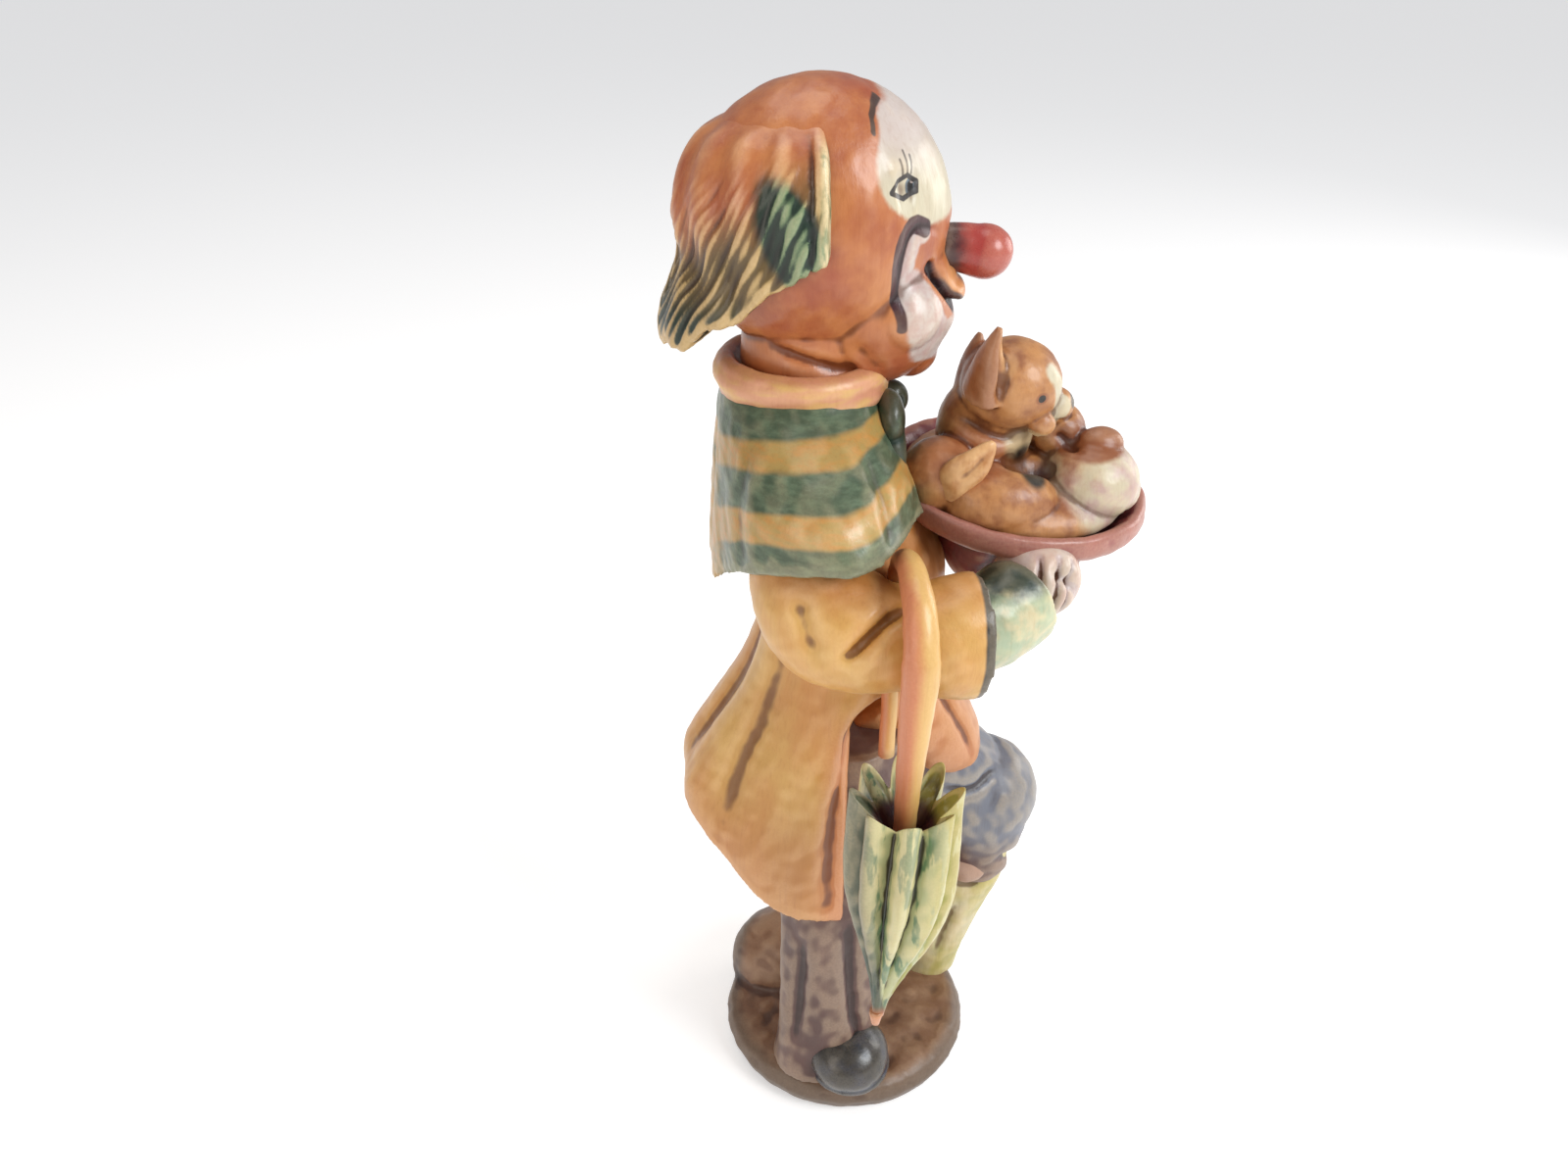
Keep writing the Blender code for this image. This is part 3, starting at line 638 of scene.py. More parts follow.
def build_head():
    """The big round head, leaning back, with a wedge-shaped face, a small jaw and the neck."""
    bm = bmesh.new()
    ball(bm, (-6.4, 0, 128.6), (15.0, 12.3, 15.2), points=96)
    ball(bm, (-0.2, 0, 119.8), (10.2, 9.4, 10.4))
    ball(bm, (4.7, 0, 113.2), (3.5, 4.2, 3.3))
    ball(bm, (7.6, 0, 120.2), (3.4, 4.6, 2.5))
    ball(bm, (6.8, 0, 116.2), (2.5, 3.4, 1.5))
    for side in (-1, 1):
        ball(bm, (2.6, side * 6.0, 119.6), (4.6, 4.0, 4.6))
    rows = [(-8.0, 0, 106, 8.0, 8.0), (-7.4, 0, 113, 8.0, 8.0), (-6.5, 0, 120, 8.6, 8.6)]
    limb(bm, rows, 12, up=(1, 0, 0))
    item, skin = carve("head", bm, 0.30, 5)
    wedge = 1 - 0.17 * ease(-3.0, 7.0, skin.x) * ease(117.0, 124.0, skin.z)
    skin.p[:, 1] *= wedge
    skin.renew()
    depth = tool_marks(skin, 0.05, 111)
    line = [(10.8, 0.2, 118.5), (9.6, 2.4, 118.8), (7.6, 4.4, 120.8), (5.6, 5.8, 124.4)]
    depth += skin.pair(line, 0.62, 1.5, 0.6)
    depth += skin.pair([(0.4, 9.4, 133.2), (3.4, 8.0, 133.0)], 1.9, 0.45)
    depth -= skin.pair([(-0.6, 9.6, 135.6), (3.2, 7.6, 135.8)], 1.2, 0.25)
    depth += skin.pair([(9.4, 2.4, 123.4), (10.0, 2.6, 125.4), (9.0, 2.2, 127.8)], 0.8, 0.5)
    line = [(6.4, 6.2, 128.6), (3.4, 8.6, 129.4), (1.9, 9.6, 126.0), (2.2, 9.4, 121.0)]
    depth += skin.pair(line, 0.7, 0.35)
    depth += skin.pair([(-3.4, 9.0, 116.6), (0.6, 8.0, 112.2)], 1.0, 0.4)
    depth += skin.pair([(-13.0, 7.6, 116.0), (-8.0, 9.0, 114.6), (-3.0, 8.0, 113.0)], 0.8, 0.7)
    depth += skin.groove([(8.2, -3.0, 115.2), (8.9, 0, 114.9), (8.2, 3.0, 115.2)], 0.6, 0.5)
    skin.finish(depth)
    return item


def build_nose():
    """The long red nose with its round end."""
    bm = bmesh.new()
    rows = [
        (7.6, 0, 125.2, 2.4, 2.6),
        (10.4, 0, 124.9, 2.65, 2.8),
        (12.2, 0, 124.5, 2.95, 3.05),
        (13.4, 0, 124.4, 3.1, 3.1),
    ]
    limb(bm, rows, 20)
    ball(bm, (13.0, 0, 124.4), (3.25, 3.15, 3.15))
    item, skin = carve("nose", bm, 0.24, 3)
    skin.finish(tool_marks(skin, 0.03, 121))
    return item


HAIR_CENTRE = (-6.6, 0.0, 128.4)


def hair_flow(p):
    """Across the locks, in grid units: constant along a stroke that runs down and back."""
    x, y, z = (p[:, i] - HAIR_CENTRE[i] for i in range(3))
    around = np.arccos(np.clip(x / np.maximum(np.hypot(x, y), 0.01), -1, 1)) * 13.6
    lean = np.where(x > -2.0, 0.15, 0.48)
    return around + lean * z + 0.35 * ripple(p, 9.0, 131)


def build_hair():
    """The fringe of hair round the back, thick at its front edges and flicked out at its tips."""
    bm = bmesh.new()
    verts = ball(bm, HAIR_CENTRE, (15.0, 12.6, 15.1), points=200)
    centre = place(*HAIR_CENTRE)
    co = np.array([v.co for v in verts])
    out = (co - np.array(centre)) / unit()
    x, y, z = out.T
    behind = ease(0.6, -0.5, x)
    floor = np.maximum(-9.6, -1.0 + 0.66 * x)
    floor = floor + 0.5 * np.cos(15 * np.arctan2(y, x)) * ease(-2, -8, x)
    low = ease(floor - 0.8, floor, z)
    crown = ease(12.5, 7.0, z)
    lock = 0.018 * np.cos(17 * np.arctan2(y, x) + 0.3 * z)
    flick = 0.40 * bump(z, -9.6, 3.8) * ease(-3.0, -11.0, x)
    waist = -0.05 * bump(z, -2.5, 3.0) * ease(-6.0, -13.0, x)
    edge = 0.018 * bump(x, -1.0, 0.8) * ease(11.5, 7.0, z)
    swell = 0.975 + 0.055 * ease(12.5, 8.5, z) + 0.055 * crown + edge + flick + waist + lock * crown
    swell = 0.90 + (swell - 0.90) * behind * low
    for vert, share in zip(verts, swell):
        vert.co = centre + (vert.co - centre) * float(share)
    item, skin = carve("hair", bm, 0.32, 2)
    x, z = skin.x - HAIR_CENTRE[0], skin.z - HAIR_CENTRE[2]
    flow = hair_flow(skin.p)
    stroke = 0.16 * np.abs(np.sin(flow * math.pi / 2.3)) + 0.09 * np.sin(flow * math.pi / 0.62)
    ends = ease(11.0, 3.0, z + 0.35 * np.maximum(0, -x - 4)) * ease(0.2, -0.6, x)
    front = bump(x, -1.9, 0.35) * ease(-8, -3, z) * ease(12, 8, z)
    hollow = bump(x, -5.2, 2.6) * bump(z, -0.5 - 0.9 * (x + 5.2), 4.2)
    outward = np.hypot(skin.p[:, 0] - HAIR_CENTRE[0], skin.p[:, 1]) > 9.0
    marks = tool_marks(skin, 0.04, 133)
    skin.finish((marks + stroke * ends - 0.35 * front - 0.45 * hollow) * outward, 0.7)
    return item


# The hat and the puppies

# How far the brim leans, in degrees about X and about Y
BRIM_LEAN = (9.0, 7.5)


def build_hat():
    """The upturned hat: a tapering crown below and an oval, dished brim with a rolled lip."""
    s = sizes()
    u = unit()
    crown = s.crown_depth / u
    length = s.brim_half_length / u
    width = s.brim_half_width / u
    middle = place(19.6, 0, 94.4)
    # Each level: height, share of the brim's size, and how far the level leans with the brim
    profile = [
        (-crown, 0.30, 0.2),
        (-crown + 0.3, 0.41, 0.2),
        (-crown + 1.2, 0.475, 0.2),
        (-crown * 0.62, 0.56, 0.4),
        (-crown * 0.34, 0.67, 0.8),
        (-2.9, 0.77, 1.0),
        (-2.1, 0.91, 1.0),
        (-1.0, 0.985, 1.0),
        (0.4, 1.0, 1.0),
        (1.4, 0.985, 1.0),
        (1.5, 0.93, 1.0),
        (0.4, 0.86, 1.0),
        (-1.4, 0.74, 1.0),
        (-3.0, 0.55, 1.0),
    ]
    bm = bmesh.new()
    rings = []
    for height, share, lean in smooth_rows(profile, 70):
        tilt = Matrix.Rotation(math.radians(BRIM_LEAN[0] * lean), 4, "X")
        tilt = tilt @ Matrix.Rotation(math.radians(BRIM_LEAN[1] * lean), 4, "Y")
        scale = Matrix.Diagonal((length * share * u, width * share * u, u, 1))
        matrix = Matrix.Translation(middle + Vector((0, 0, height * u))) @ tilt @ scale
        rings.append(circle(bm, matrix, 180))
    join_rings(bm, rings)
    item = add_piece("hat", bm)
    skin = Skin(item)
    depth = tool_marks(skin, 0.06, 141)
    depth += skin.groove([(12.0, -8.0, 84.6), (20.0, -10.6, 86.4), (27.0, -8.0, 86.0)], 1.2, 0.4)
    depth += skin.groove([(14.0, -8.6, 83.4), (15.4, -10.6, 90.0)], 0.9, 0.35)
    depth += skin.groove([(24.0, -8.0, 83.4), (26.4, -10.0, 90.0)], 0.9, 0.35)
    skin.finish(depth)
    return item


def build_puppies():
    """Three puppies packed in the hat: one sits up, one looks out in front, one curls at the near side."""
    bm = bmesh.new()
    ball(bm, (19.2, -0.4, 95.4), (14.4, 12.2, 4.2), (9, 7, 0))
    # The one that sits up, with its muzzle forward and its ears up
    ball(bm, (15.0, 0.6, 102.0), (6.0, 6.2, 7.0))
    ball(bm, (17.2, -1.6, 108.8), (6.2, 5.8, 5.7))
    ball(bm, (22.2, -1.4, 105.9), (3.2, 2.7, 2.4))
    ball(bm, (20.4, -5.0, 104.8), (1.9, 1.5, 1.6))
    for side, tip in ((-1, 117.4), (1, 114.0)):
        rows = [
            (13.2, -1.6 + side * 2.6, tip - 8.6, 2.6, 3.6),
            (13.3, -1.8 + side * 3.7, tip - 4.2, 1.7, 2.6),
            (13.8, -2.0 + side * 4.2, tip - 0.6, 0.6, 0.9),
            (14.0, -2.0 + side * 4.3, tip, 0.35, 0.4),
        ]
        limb(bm, rows, 20, up=(0, 1, 0))
    # The one in front, its chin on the brim
    ball(bm, (28.0, -4.0, 96.8), (6.0, 6.0, 5.2), (0, 6, 0))
    ball(bm, (31.2, -3.4, 95.4), (3.4, 4.2, 3.2))
    ball(bm, (28.8, -3.4, 101.2), (2.9, 2.4, 2.2))
    ball(bm, (24.4, 0.6, 101.6), (3.6, 3.8, 3.6))
    # The one at the near side, curled, with an ear across its back
    ball(bm, (8.6, -4.6, 98.4), (4.9, 5.0, 4.8))
    ball(bm, (15.6, -7.6, 96.0), (7.4, 4.8, 4.6), (0, 6, 0))
    item, skin = carve("puppies", bm, 0.29, 3)
    depth = tool_marks(skin, 0.04, 151) + 0.018 * ripple(skin.p, 1.0, 152)
    depth += skin.groove([(13.2, -5.6, 108.0), (13.9, -6.6, 112.6), (14.2, -6.7, 116.0)], 0.9, 0.9)
    depth += skin.groove([(17.6, -6.6, 99.6), (20.0, -5.0, 99.2), (21.4, -4.6, 99.0)], 1.5, 1.8, 0.9)
    depth += skin.groove([(22.0, -4.6, 103.0), (24.4, -4.0, 102.0), (26.0, -5.0, 100.0)], 0.8, 0.8)
    depth += skin.groove([(30.8, -5.0, 94.6), (33.8, -3.6, 94.6), (35.4, -1.0, 94.8)], 0.4, 0.5)
    depth += skin.groove([(20.6, -5.6, 103.4), (23.2, -4.0, 104.0), (25.4, -1.6, 104.6)], 0.35, 0.4)
    depth += skin.groove([(12.0, -1.2, 104.6), (15.0, -5.0, 103.4), (19.0, -6.6, 103.2)], 0.9, 0.9)
    skin.finish(depth, 0.8)

    bm = bmesh.new()
    rows = [
        (8.6, -8.6, 97.4, 0.8, 1.3),
        (9.4, -9.2, 100.0, 1.3, 2.2),
        (11.4, -9.6, 101.9, 1.2, 2.1),
        (13.0, -9.6, 104.0, 0.7, 1.1),
        (13.6, -9.5, 104.8, 0.3, 0.4),
    ]
    limb(bm, rows, 30)
    ear, skin = carve("puppy_ear", bm, 0.20, 3)
    fold = skin.groove([(9.4, -10.6, 100.2), (11.4, -10.9, 102.0), (12.8, -10.6, 103.6)], 0.7, 0.5)
    skin.finish(fold, 0.8)
    return item, ear


# The umbrella

FLUTES = 8
FLUTE_DEPTH = 0.42
# How far the canopy's foot lies from under its rim, in metres
FOOT_OFFSET = (-0.002, 0.0006)


def crook_points():
    """Centre line of the umbrella's handle, from inside the canopy over the forearm to the crook's end."""
    s = sizes()
    arm_x = FOREARM[0] * unit()
    arm_y = -FOREARM[1] * unit()
    arm_z = s.base_height + FOREARM[2] * unit()
    near = arm_y - s.forearm_half_width - s.fit_gap - s.handle_radius
    far = arm_y + s.forearm_half_width + s.fit_gap + s.crook_end_radius
    bend = (far - near) / 2
    middle = (far + near) / 2
    spring = arm_z + s.forearm_half_height + s.fit_gap + s.handle_radius - bend + 0.0006
    rim = spring - s.handle_drop
    points = [((arm_x - 0.0008, near, rim - s.canopy_length * 0.3), 0.6 * s.handle_radius)]
    points.append(((arm_x - 0.0006, near, rim), 0.66 * s.handle_radius))
    points.append(((arm_x - 0.0003, near, spring - s.handle_drop * 0.45), 0.84 * s.handle_radius))
    for step in range(13):
        angle = math.pi * step / 12
        thick = s.handle_radius + (s.crook_end_radius - s.handle_radius) * step / 12
        y = middle - bend * math.cos(angle)
        points.append(((arm_x, y, spring + bend * math.sin(angle)), thick))
    points.append(((arm_x, far, spring - s.crook_end_drop * 0.5), s.crook_end_radius))
    points.append(((arm_x, far, spring - s.crook_end_drop), s.crook_end_radius))
    return points


def build_handle():
    """The crook handle, swept along its centre line."""
    rows = smooth_rows([(*p, thick) for p, thick in crook_points()], 110)
    centres = [Vector(row[:3]) for row in rows]
    bm = bmesh.new()
    rings = []
    for index, row in enumerate(rows):
        ahead = centres[min(index + 1, len(rows) - 1)] - centres[max(index - 1, 0)]
        across = Vector((1, 0, 0))
        above = ahead.cross(across).normalized()
        turn = Matrix((across, above, across.cross(above))).transposed().to_4x4()
        thick = float(row[3])
        scale = Matrix.Diagonal((thick, thick, 1, 1))
        rings.append(circle(bm, Matrix.Translation(centres[index]) @ turn @ scale, 40))
    join_rings(bm, rings)
    item = add_piece("umbrella_handle", bm, UMBRELLA)
    skin = Skin(item)
    skin.finish(tool_marks(skin, 0.05, 161) - 0.04)
    return item


def build_canopy():
    """The furled canopy, point down: flutes that end in tips round a hollow rim."""
    s = sizes()
    (x, y, top), _ = crook_points()[1]
    bm = bmesh.new()
    rings = []
    levels = 70
    inside = 12
    for step in range(levels + inside + 1):
        fall = min(step, levels) / levels
        inner = max(0, step - levels) / inside
        t = 1 - fall
        centre = Vector((x + FOOT_OFFSET[0] * t, y + FOOT_OFFSET[1] * t, top - s.canopy_length * t))
        ring = circle(bm, Matrix.Translation(centre), 224)
        for vert in ring:
            out = vert.co - centre
            angle = math.atan2(out.y, out.x)
            flute = (0.5 + 0.5 * math.cos(FLUTES * angle + 0.6)) ** 0.6
            depth = FLUTE_DEPTH * ease(0.0, 0.35, fall)
            swell = (0.10 + 0.90 * ease(0.0, 0.8, fall)) * (1 - depth * (1 - flute))
            lobe = 0.35 * bump(angle, -0.25, 0.5) * bump(fall, 0.45, 0.3)
            radius = s.canopy_radius * (swell + lobe) * (1 - inner) + 0.4 * s.handle_radius * inner
            tip = s.tip_height * flute * ease(0.6, 1.0, fall) * (1 - inner**2)
            height = tip - s.hollow_depth * inner**0.6
            vert.co = centre + Vector((math.cos(angle) * radius, math.sin(angle) * radius, height))
        rings.append(ring)
    join_rings(bm, rings)
    foot = Vector((x + FOOT_OFFSET[0], y + FOOT_OFFSET[1], top - s.canopy_length - s.ferrule_length))
    rings = []
    for height, radius in ((0, 0.0005), (0.5, 0.0007), (1.0, 0.0009), (2.0, 0.001)):
        matrix = Matrix.Translation(foot + Vector((0, 0, height * s.ferrule_length)))
        rings.append(circle(bm, matrix @ Matrix.Diagonal((radius, radius, 1, 1)), 24))
    join_rings(bm, rings)
    item = add_piece("umbrella_canopy", bm, UMBRELLA)
    skin = Skin(item)
    skin.p = skin.smoothed(3)
    skin.renew()
    skin.finish(tool_marks(skin, 0.05, 171))
    return item


# Paint, as node trees that read like arithmetic


class Field:
    """A value in a material's node tree."""

    def __init__(self, paint, socket):
        self.paint = paint
        self.socket = socket

    def __add__(self, other):
        return self.paint.math("ADD", self, other)

    __radd__ = __add__

    def __sub__(self, other):
        return self.paint.math("SUBTRACT", self, other)

    def __rsub__(self, other):
        return self.paint.math("SUBTRACT", other, self)

    def __mul__(self, other):
        return self.paint.math("MULTIPLY", self, other)

    __rmul__ = __mul__

    def __truediv__(self, other):
        return self.paint.math("DIVIDE", self, other)

    def __abs__(self):
        return self.paint.math("ABSOLUTE", self)

    def rise(self, low, high):
        """0 below low, 1 above high, smooth between. Works downhill too, with low above high."""
        if low > high:
            return 1 - self.rise(high, low)
        node = self.paint.add("ShaderNodeMapRange", interpolation_type="SMOOTHSTEP")
        node.inputs["From Min"].default_value = low
        node.inputs["From Max"].default_value = high
        self.paint.join(self, node.inputs["Value"])
        return Field(self.paint, node.outputs["Result"])

    def sine(self):
        return self.paint.math("SINE", self)


class Paint:
    """One material: satin paint over carved wood."""

    def __init__(self, name):
        self.material = bpy.data.materials.new(name)
        self.material.use_nodes = True
        self.tree = self.material.node_tree
        self.shader = self.tree.nodes["Principled BSDF"]
        source = self.add("ShaderNodeTexCoord").outputs["Object"]
        above = self.vector("SUBTRACT", source, (0.0, 0.0, sizes().base_height))
        self.grid = self.vector("SCALE", above, 1.0 / unit())
        split = self.add("ShaderNodeSeparateXYZ")
        self.join(self.grid, split.inputs[0])
        self.x, self.y, self.z = (Field(self, s) for s in split.outputs)

    def add(self, kind, **settings):
        node = self.tree.nodes.new(kind)
        for key, value in settings.items():
            setattr(node, key, value)
        return node

    def join(self, value, socket):
        """Link a field, or set a number, a colour or a vector."""
        if isinstance(value, Field):
            self.tree.links.new(value.socket, socket)
        elif isinstance(value, bpy.types.NodeSocket):
            self.tree.links.new(value, socket)
        elif isinstance(value, (int, float)):
            socket.default_value = float(value)
        else:
            value = tuple(value)
            socket.default_value = (*value, 1.0) if socket.type == "RGBA" and len(value) == 3 else value

    def math(self, operation, first, second=None):
        node = self.add("ShaderNodeMath", operation=operation)
        self.join(first, node.inputs[0])
        if second is not None:
            self.join(second, node.inputs[1])
        return Field(self, node.outputs[0])

    def vector(self, operation, first, second):
        """Vector arithmetic, which gives a vector."""
        node = self.add("ShaderNodeVectorMath", operation=operation)
        self.join(first, node.inputs[0])
        self.join(second, node.inputs["Scale" if operation == "SCALE" else 1])
        return node.outputs["Value" if operation in ("LENGTH", "DISTANCE", "DOT_PRODUCT") else 0]

    def least(self, first, *others):
        for other in others:
            first = self.math("MINIMUM", first, other)
        return first

    def most(self, first, *others):
        for other in others:
            first = self.math("MAXIMUM", first, other)
        return first

    def around(self, x, y):
        """The angle of a direction in the level plane."""
        return self.math("ARCTAN2", y, x)

    def noise(self, size, stretch=(1, 1, 1), detail=3.0, roughness=0.55):
        """Cloudy noise from 0 to 1. size is the width of a blotch on the grid."""
        cloud = self.add("ShaderNodeTexNoise", noise_dimensions="3D")
        self.join(self.vector("DIVIDE", self.grid, [size * s for s in stretch]), cloud.inputs["Vector"])
        cloud.inputs["Scale"].default_value = 1.0
        cloud.inputs["Detail"].default_value = detail
        cloud.inputs["Roughness"].default_value = roughness
        return Field(self, cloud.outputs["Fac"])

    def noted(self, name):
        """A value that the carving kept per point."""
        node = self.add("ShaderNodeAttribute", attribute_name=name)
        return Field(self, node.outputs["Fac"])

    def mix(self, factor, first, second, kind="MIX"):
        node = self.add("ShaderNodeMix", data_type="RGBA", blend_type=kind)
        node.clamp_factor = True
        self.join(factor, node.inputs["Factor"])
        self.join(first, node.inputs[6])
        self.join(second, node.inputs[7])
        return node.outputs[2]

    def lay(self, factor, colour, kind="MIX"):
        """Lay a colour over what is there already."""
        self.colour = self.mix(factor, self.colour, colour, kind)

    def spot(self, centre, radii, turn=(0, 0, 0)):
        """Distance from an ellipsoid's centre, as a share: 0 at the centre, 1 at its skin."""
        vector = self.vector("SUBTRACT", self.grid, centre)
        if any(turn):
            spin = self.add("ShaderNodeVectorRotate", rotation_type="EULER_XYZ", invert=True)
            self.join(vector, spin.inputs["Vector"])
            spin.inputs["Rotation"].default_value = [math.radians(a) for a in turn]
            vector = spin.outputs[0]
        return Field(self, self.vector("LENGTH", self.vector("DIVIDE", vector, radii), (0.0, 0.0, 0.0)))

    def flat(self, u, v):
        """A pair of fields as a vector, to be drawn on."""
        node = self.add("ShaderNodeCombineXYZ")
        self.join(u, node.inputs[0])
        self.join(v, node.inputs[1])
        return node.outputs[0]

    def stroke(self, vector, points):
        """Distance from a line of points drawn on a vector."""
        distances = []
        for start, end in zip(points, points[1:]):
            a = Vector((*start, 0.0)[:3])
            b = Vector((*end, 0.0)[:3]) - a
            offset = self.vector("SUBTRACT", vector, a)
            clamp = self.add("ShaderNodeClamp")
            self.join(self.vector("DOT_PRODUCT", offset, b / b.length_squared), clamp.inputs["Value"])
            along = self.vector("SCALE", b, clamp.outputs[0])
            distances.append(Field(self, self.vector("DISTANCE", offset, along)))
        return self.least(*distances)

    def finish(self, item, gloss=0.34, glaze=0.75, wear_and_highlight=0.45, grain=1.0, mottle=0.35):
        """Brown glazed stain deepened by painted shade in the hollows, crests paler from worn paint and a
        painted highlight, streaks along the grain and a satin varnish.
        """
        hollow = self.noted("hollow")
        crest = self.noted("crest")
        streak = self.noise(0.42, (1, 1, 14), 4.0)
        cloud = self.noise(5.5, (1, 1, 1.4), 4.0, 0.6)
        speck = self.noise(0.35, (1, 1, 1), 2.0)
        c = colours()
        self.lay(cloud.rise(0.35, 0.75) * mottle, c.glaze_soft, "MULTIPLY")
        self.lay(streak.rise(0.45, 0.8) * (0.30 * grain), c.glaze_soft, "MULTIPLY")
        # Paler crests: partly worn paint, partly a painted highlight
        rubbed = crest.rise(0.12, 0.75) * (speck * 0.7 + 0.45) * wear_and_highlight
        self.lay(rubbed, c.rubbed, "SOFT_LIGHT")
        self.lay(rubbed * 0.35, c.rubbed)
        # Darker in the hollows: partly a glazed stain, partly painted shade
        self.lay(hollow.rise(0.06, 0.75) * glaze, c.glaze, "MULTIPLY")
        self.join(self.colour, self.shader.inputs["Base Color"])
        self.join(speck * 0.10 + cloud * 0.10 + (gloss - 0.04), self.shader.inputs["Roughness"])
        self.shader.inputs["Specular IOR Level"].default_value = 0.5
        self.shader.inputs["Coat Weight"].default_value = 0.10
        self.shader.inputs["Coat Roughness"].default_value = 0.22
        fibre = self.noise(0.30, (1, 1, 18), 3.0)
        brush = self.noise(1.1, (1, 1, 2.2), 3.0)
        relief = self.add("ShaderNodeBump")
        relief.inputs["Strength"].default_value = 0.35
        relief.inputs["Distance"].default_value = 0.10 * unit()
        self.join(fibre * (0.8 * grain) + brush * 0.9 + speck * 0.25, relief.inputs["Height"])
        self.join(relief.outputs[0], self.shader.inputs["Normal"])
        item.data.materials.clear()
        item.data.materials.append(self.material)


# The paint of each piece


def paint_base(item):
    paint, c = Paint("base_paint"), colours()
    out = paint.math("SQRT", paint.x * paint.x + paint.y * paint.y)
    cloud = paint.noise(4.0, (1, 1, 1), 4.0)
    paint.colour = paint.mix(cloud.rise(0.35, 0.75) * 0.55, c.base, c.base_pale)
    rim = (out + cloud * 2.0).rise(17.6, 19.8)
    paint.lay(rim * 0.85, c.base_rim)
    paint.lay(paint.z.rise(-1.2, -3.4) * 0.8, c.base_rim)
    paint.finish(item, gloss=0.42, wear_and_highlight=0.35)


def paint_trouser(item):
    paint, c = Paint(item.name + "_paint"), colours()
    cloud = paint.noise(5.0, (1, 1, 2), 3.0)
    paint.colour = paint.mix(cloud.rise(0.3, 0.8) * 0.7, c.trouser, c.trouser_pale)
    # Painted bluish reflection of the window light on the front of the left knee
    knee = (paint.z + paint.x * 0.25 + cloud * 3.0).rise(34.0, 44.0) * paint.x.rise(9.0, 15.0)
    paint.lay(knee * 0.75, c.knee)
    paint.finish(item, gloss=0.38, wear_and_highlight=0.6)


def paint_shin(item):
    paint, c = Paint("shin_paint"), colours()
    cloud = paint.noise(4.0, (1, 1, 2), 3.0)
    paint.colour = paint.mix(cloud.rise(0.35, 0.75), c.stocking, c.cream)
    disc = paint.spot((19.4, -0.4, 27.2), (3.9, 3.4, 4.2)).rise(1.0, 0.75)
    paint.lay(disc, c.trouser_pink)
    paint.finish(item, gloss=0.40)


def paint_shoes(item):
    paint, c = Paint("shoe_paint"), colours()
    # Painted reflections of the bluish light in patches on the black shoes
    paint.colour = paint.mix(paint.noise(3.0).rise(0.4, 0.8), c.shoe, c.shoe_blue)
    paint.finish(item, gloss=0.22, wear_and_highlight=0.25, grain=0.4)


def paint_coat(item):
    paint, c = Paint("coat_paint"), colours()
    cloud = paint.noise(9.0, (1, 1, 2.4), 4.0, 0.6)
    paint.colour = paint.mix(cloud.rise(0.3, 0.7), c.coat, c.coat_yellow)
    paint.lay(paint.z.rise(60.0, 46.0) * (cloud * 0.9), c.coat_red)
    # Painted shade: redder along the coat's front edge
    front = (paint.x + cloud * 3.0).rise(-6.6, -2.4) * paint.z.rise(74.0, 62.0)
    paint.lay(front * 0.75, c.coat_red)
    # Painted shade: redder under the cape's hem
    paint.lay(paint.z.rise(72.0, 84.0) * 0.6, c.coat_red)
    paint.finish(item, gloss=0.34, wear_and_highlight=0.55, mottle=0.25)


def paint_cape(item):
    paint, c = Paint("cape_paint"), colours()
    angle = paint.around(paint.x + 6.6, paint.y)
    side = angle.sine() * angle.sine()
    front = paint.math("COSINE", angle).rise(0.0, 1.0)
    hem = CAPE_HEM + side * LIFT_BESIDE + front * LIFT_AHEAD
    wobble = paint.noise(6.0, (1, 1, 1), 2.0) * 0.05 - 0.025
    share = (paint.z - hem) / (CAPE_TOP - hem) + wobble
    # Bands from the hem up, in shares of the cape's height
    bands = [
        share.rise(low - 0.02, low + 0.02) * share.rise(high + 0.02, high - 0.02)
        for low, high in ((-0.2, 0.20), (0.39, 0.60), (0.74, 1.2))
    ]
    green = paint.most(*bands) * (paint.x + paint.noise(3.0) * 2.0).rise(-18.6, -17.2)
    brushed = paint.noise(0.7, (3, 3, 1), 3.0)
    yellow = paint.mix(brushed.rise(0.35, 0.7), c.cape_yellow, c.cape_orange)
    greens = paint.mix(brushed.rise(0.35, 0.75), c.cape_green, c.cape_green_pale)
    paint.colour = paint.mix(green, yellow, greens)
    paint.finish(item, gloss=0.26, wear_and_highlight=0.5, mottle=0.3)


def paint_collar(item):
    paint, c = Paint("collar_paint"), colours()
    streak = paint.noise(1.2, (4, 4, 1), 3.0)
    paint.colour = paint.mix(streak.rise(0.35, 0.7), c.collar, c.coat_yellow)
    # Painted shade: redder where the collar turns in against the neck
    inner = paint.z.rise(112.3, 113.0)
    paint.lay(inner * 0.6, c.skin_red)
    paint.finish(item, gloss=0.34)


def paint_bow(item):
    paint, c = Paint("bow_paint"), colours()
    paint.colour = paint.mix(paint.noise(1.6).rise(0.5, 0.9) * 0.5, c.dark_green, c.green)
    paint.finish(item, gloss=0.28, wear_and_highlight=0.25)


def paint_sleeve(item):
    paint, c = Paint(item.name + "_paint"), colours()
    cloud = paint.noise(6.0, (1, 1, 1.5), 4.0, 0.6)
    paint.colour = paint.mix(cloud.rise(0.3, 0.7), c.sleeve, c.coat_yellow)
    # Painted shade: redder on the sleeve's top, under the cape
    paint.lay(paint.z.rise(90.0, 95.0) * 0.6, c.coat_red)
    # Black at the sleeve's mouth: a black rim, and painted shade inside the opening
    rim = (paint.x + cloud * 0.5).rise(10.1, 10.5)
    paint.lay(rim, c.black)
    paint.finish(item, gloss=0.32, wear_and_highlight=0.5, mottle=0.25)


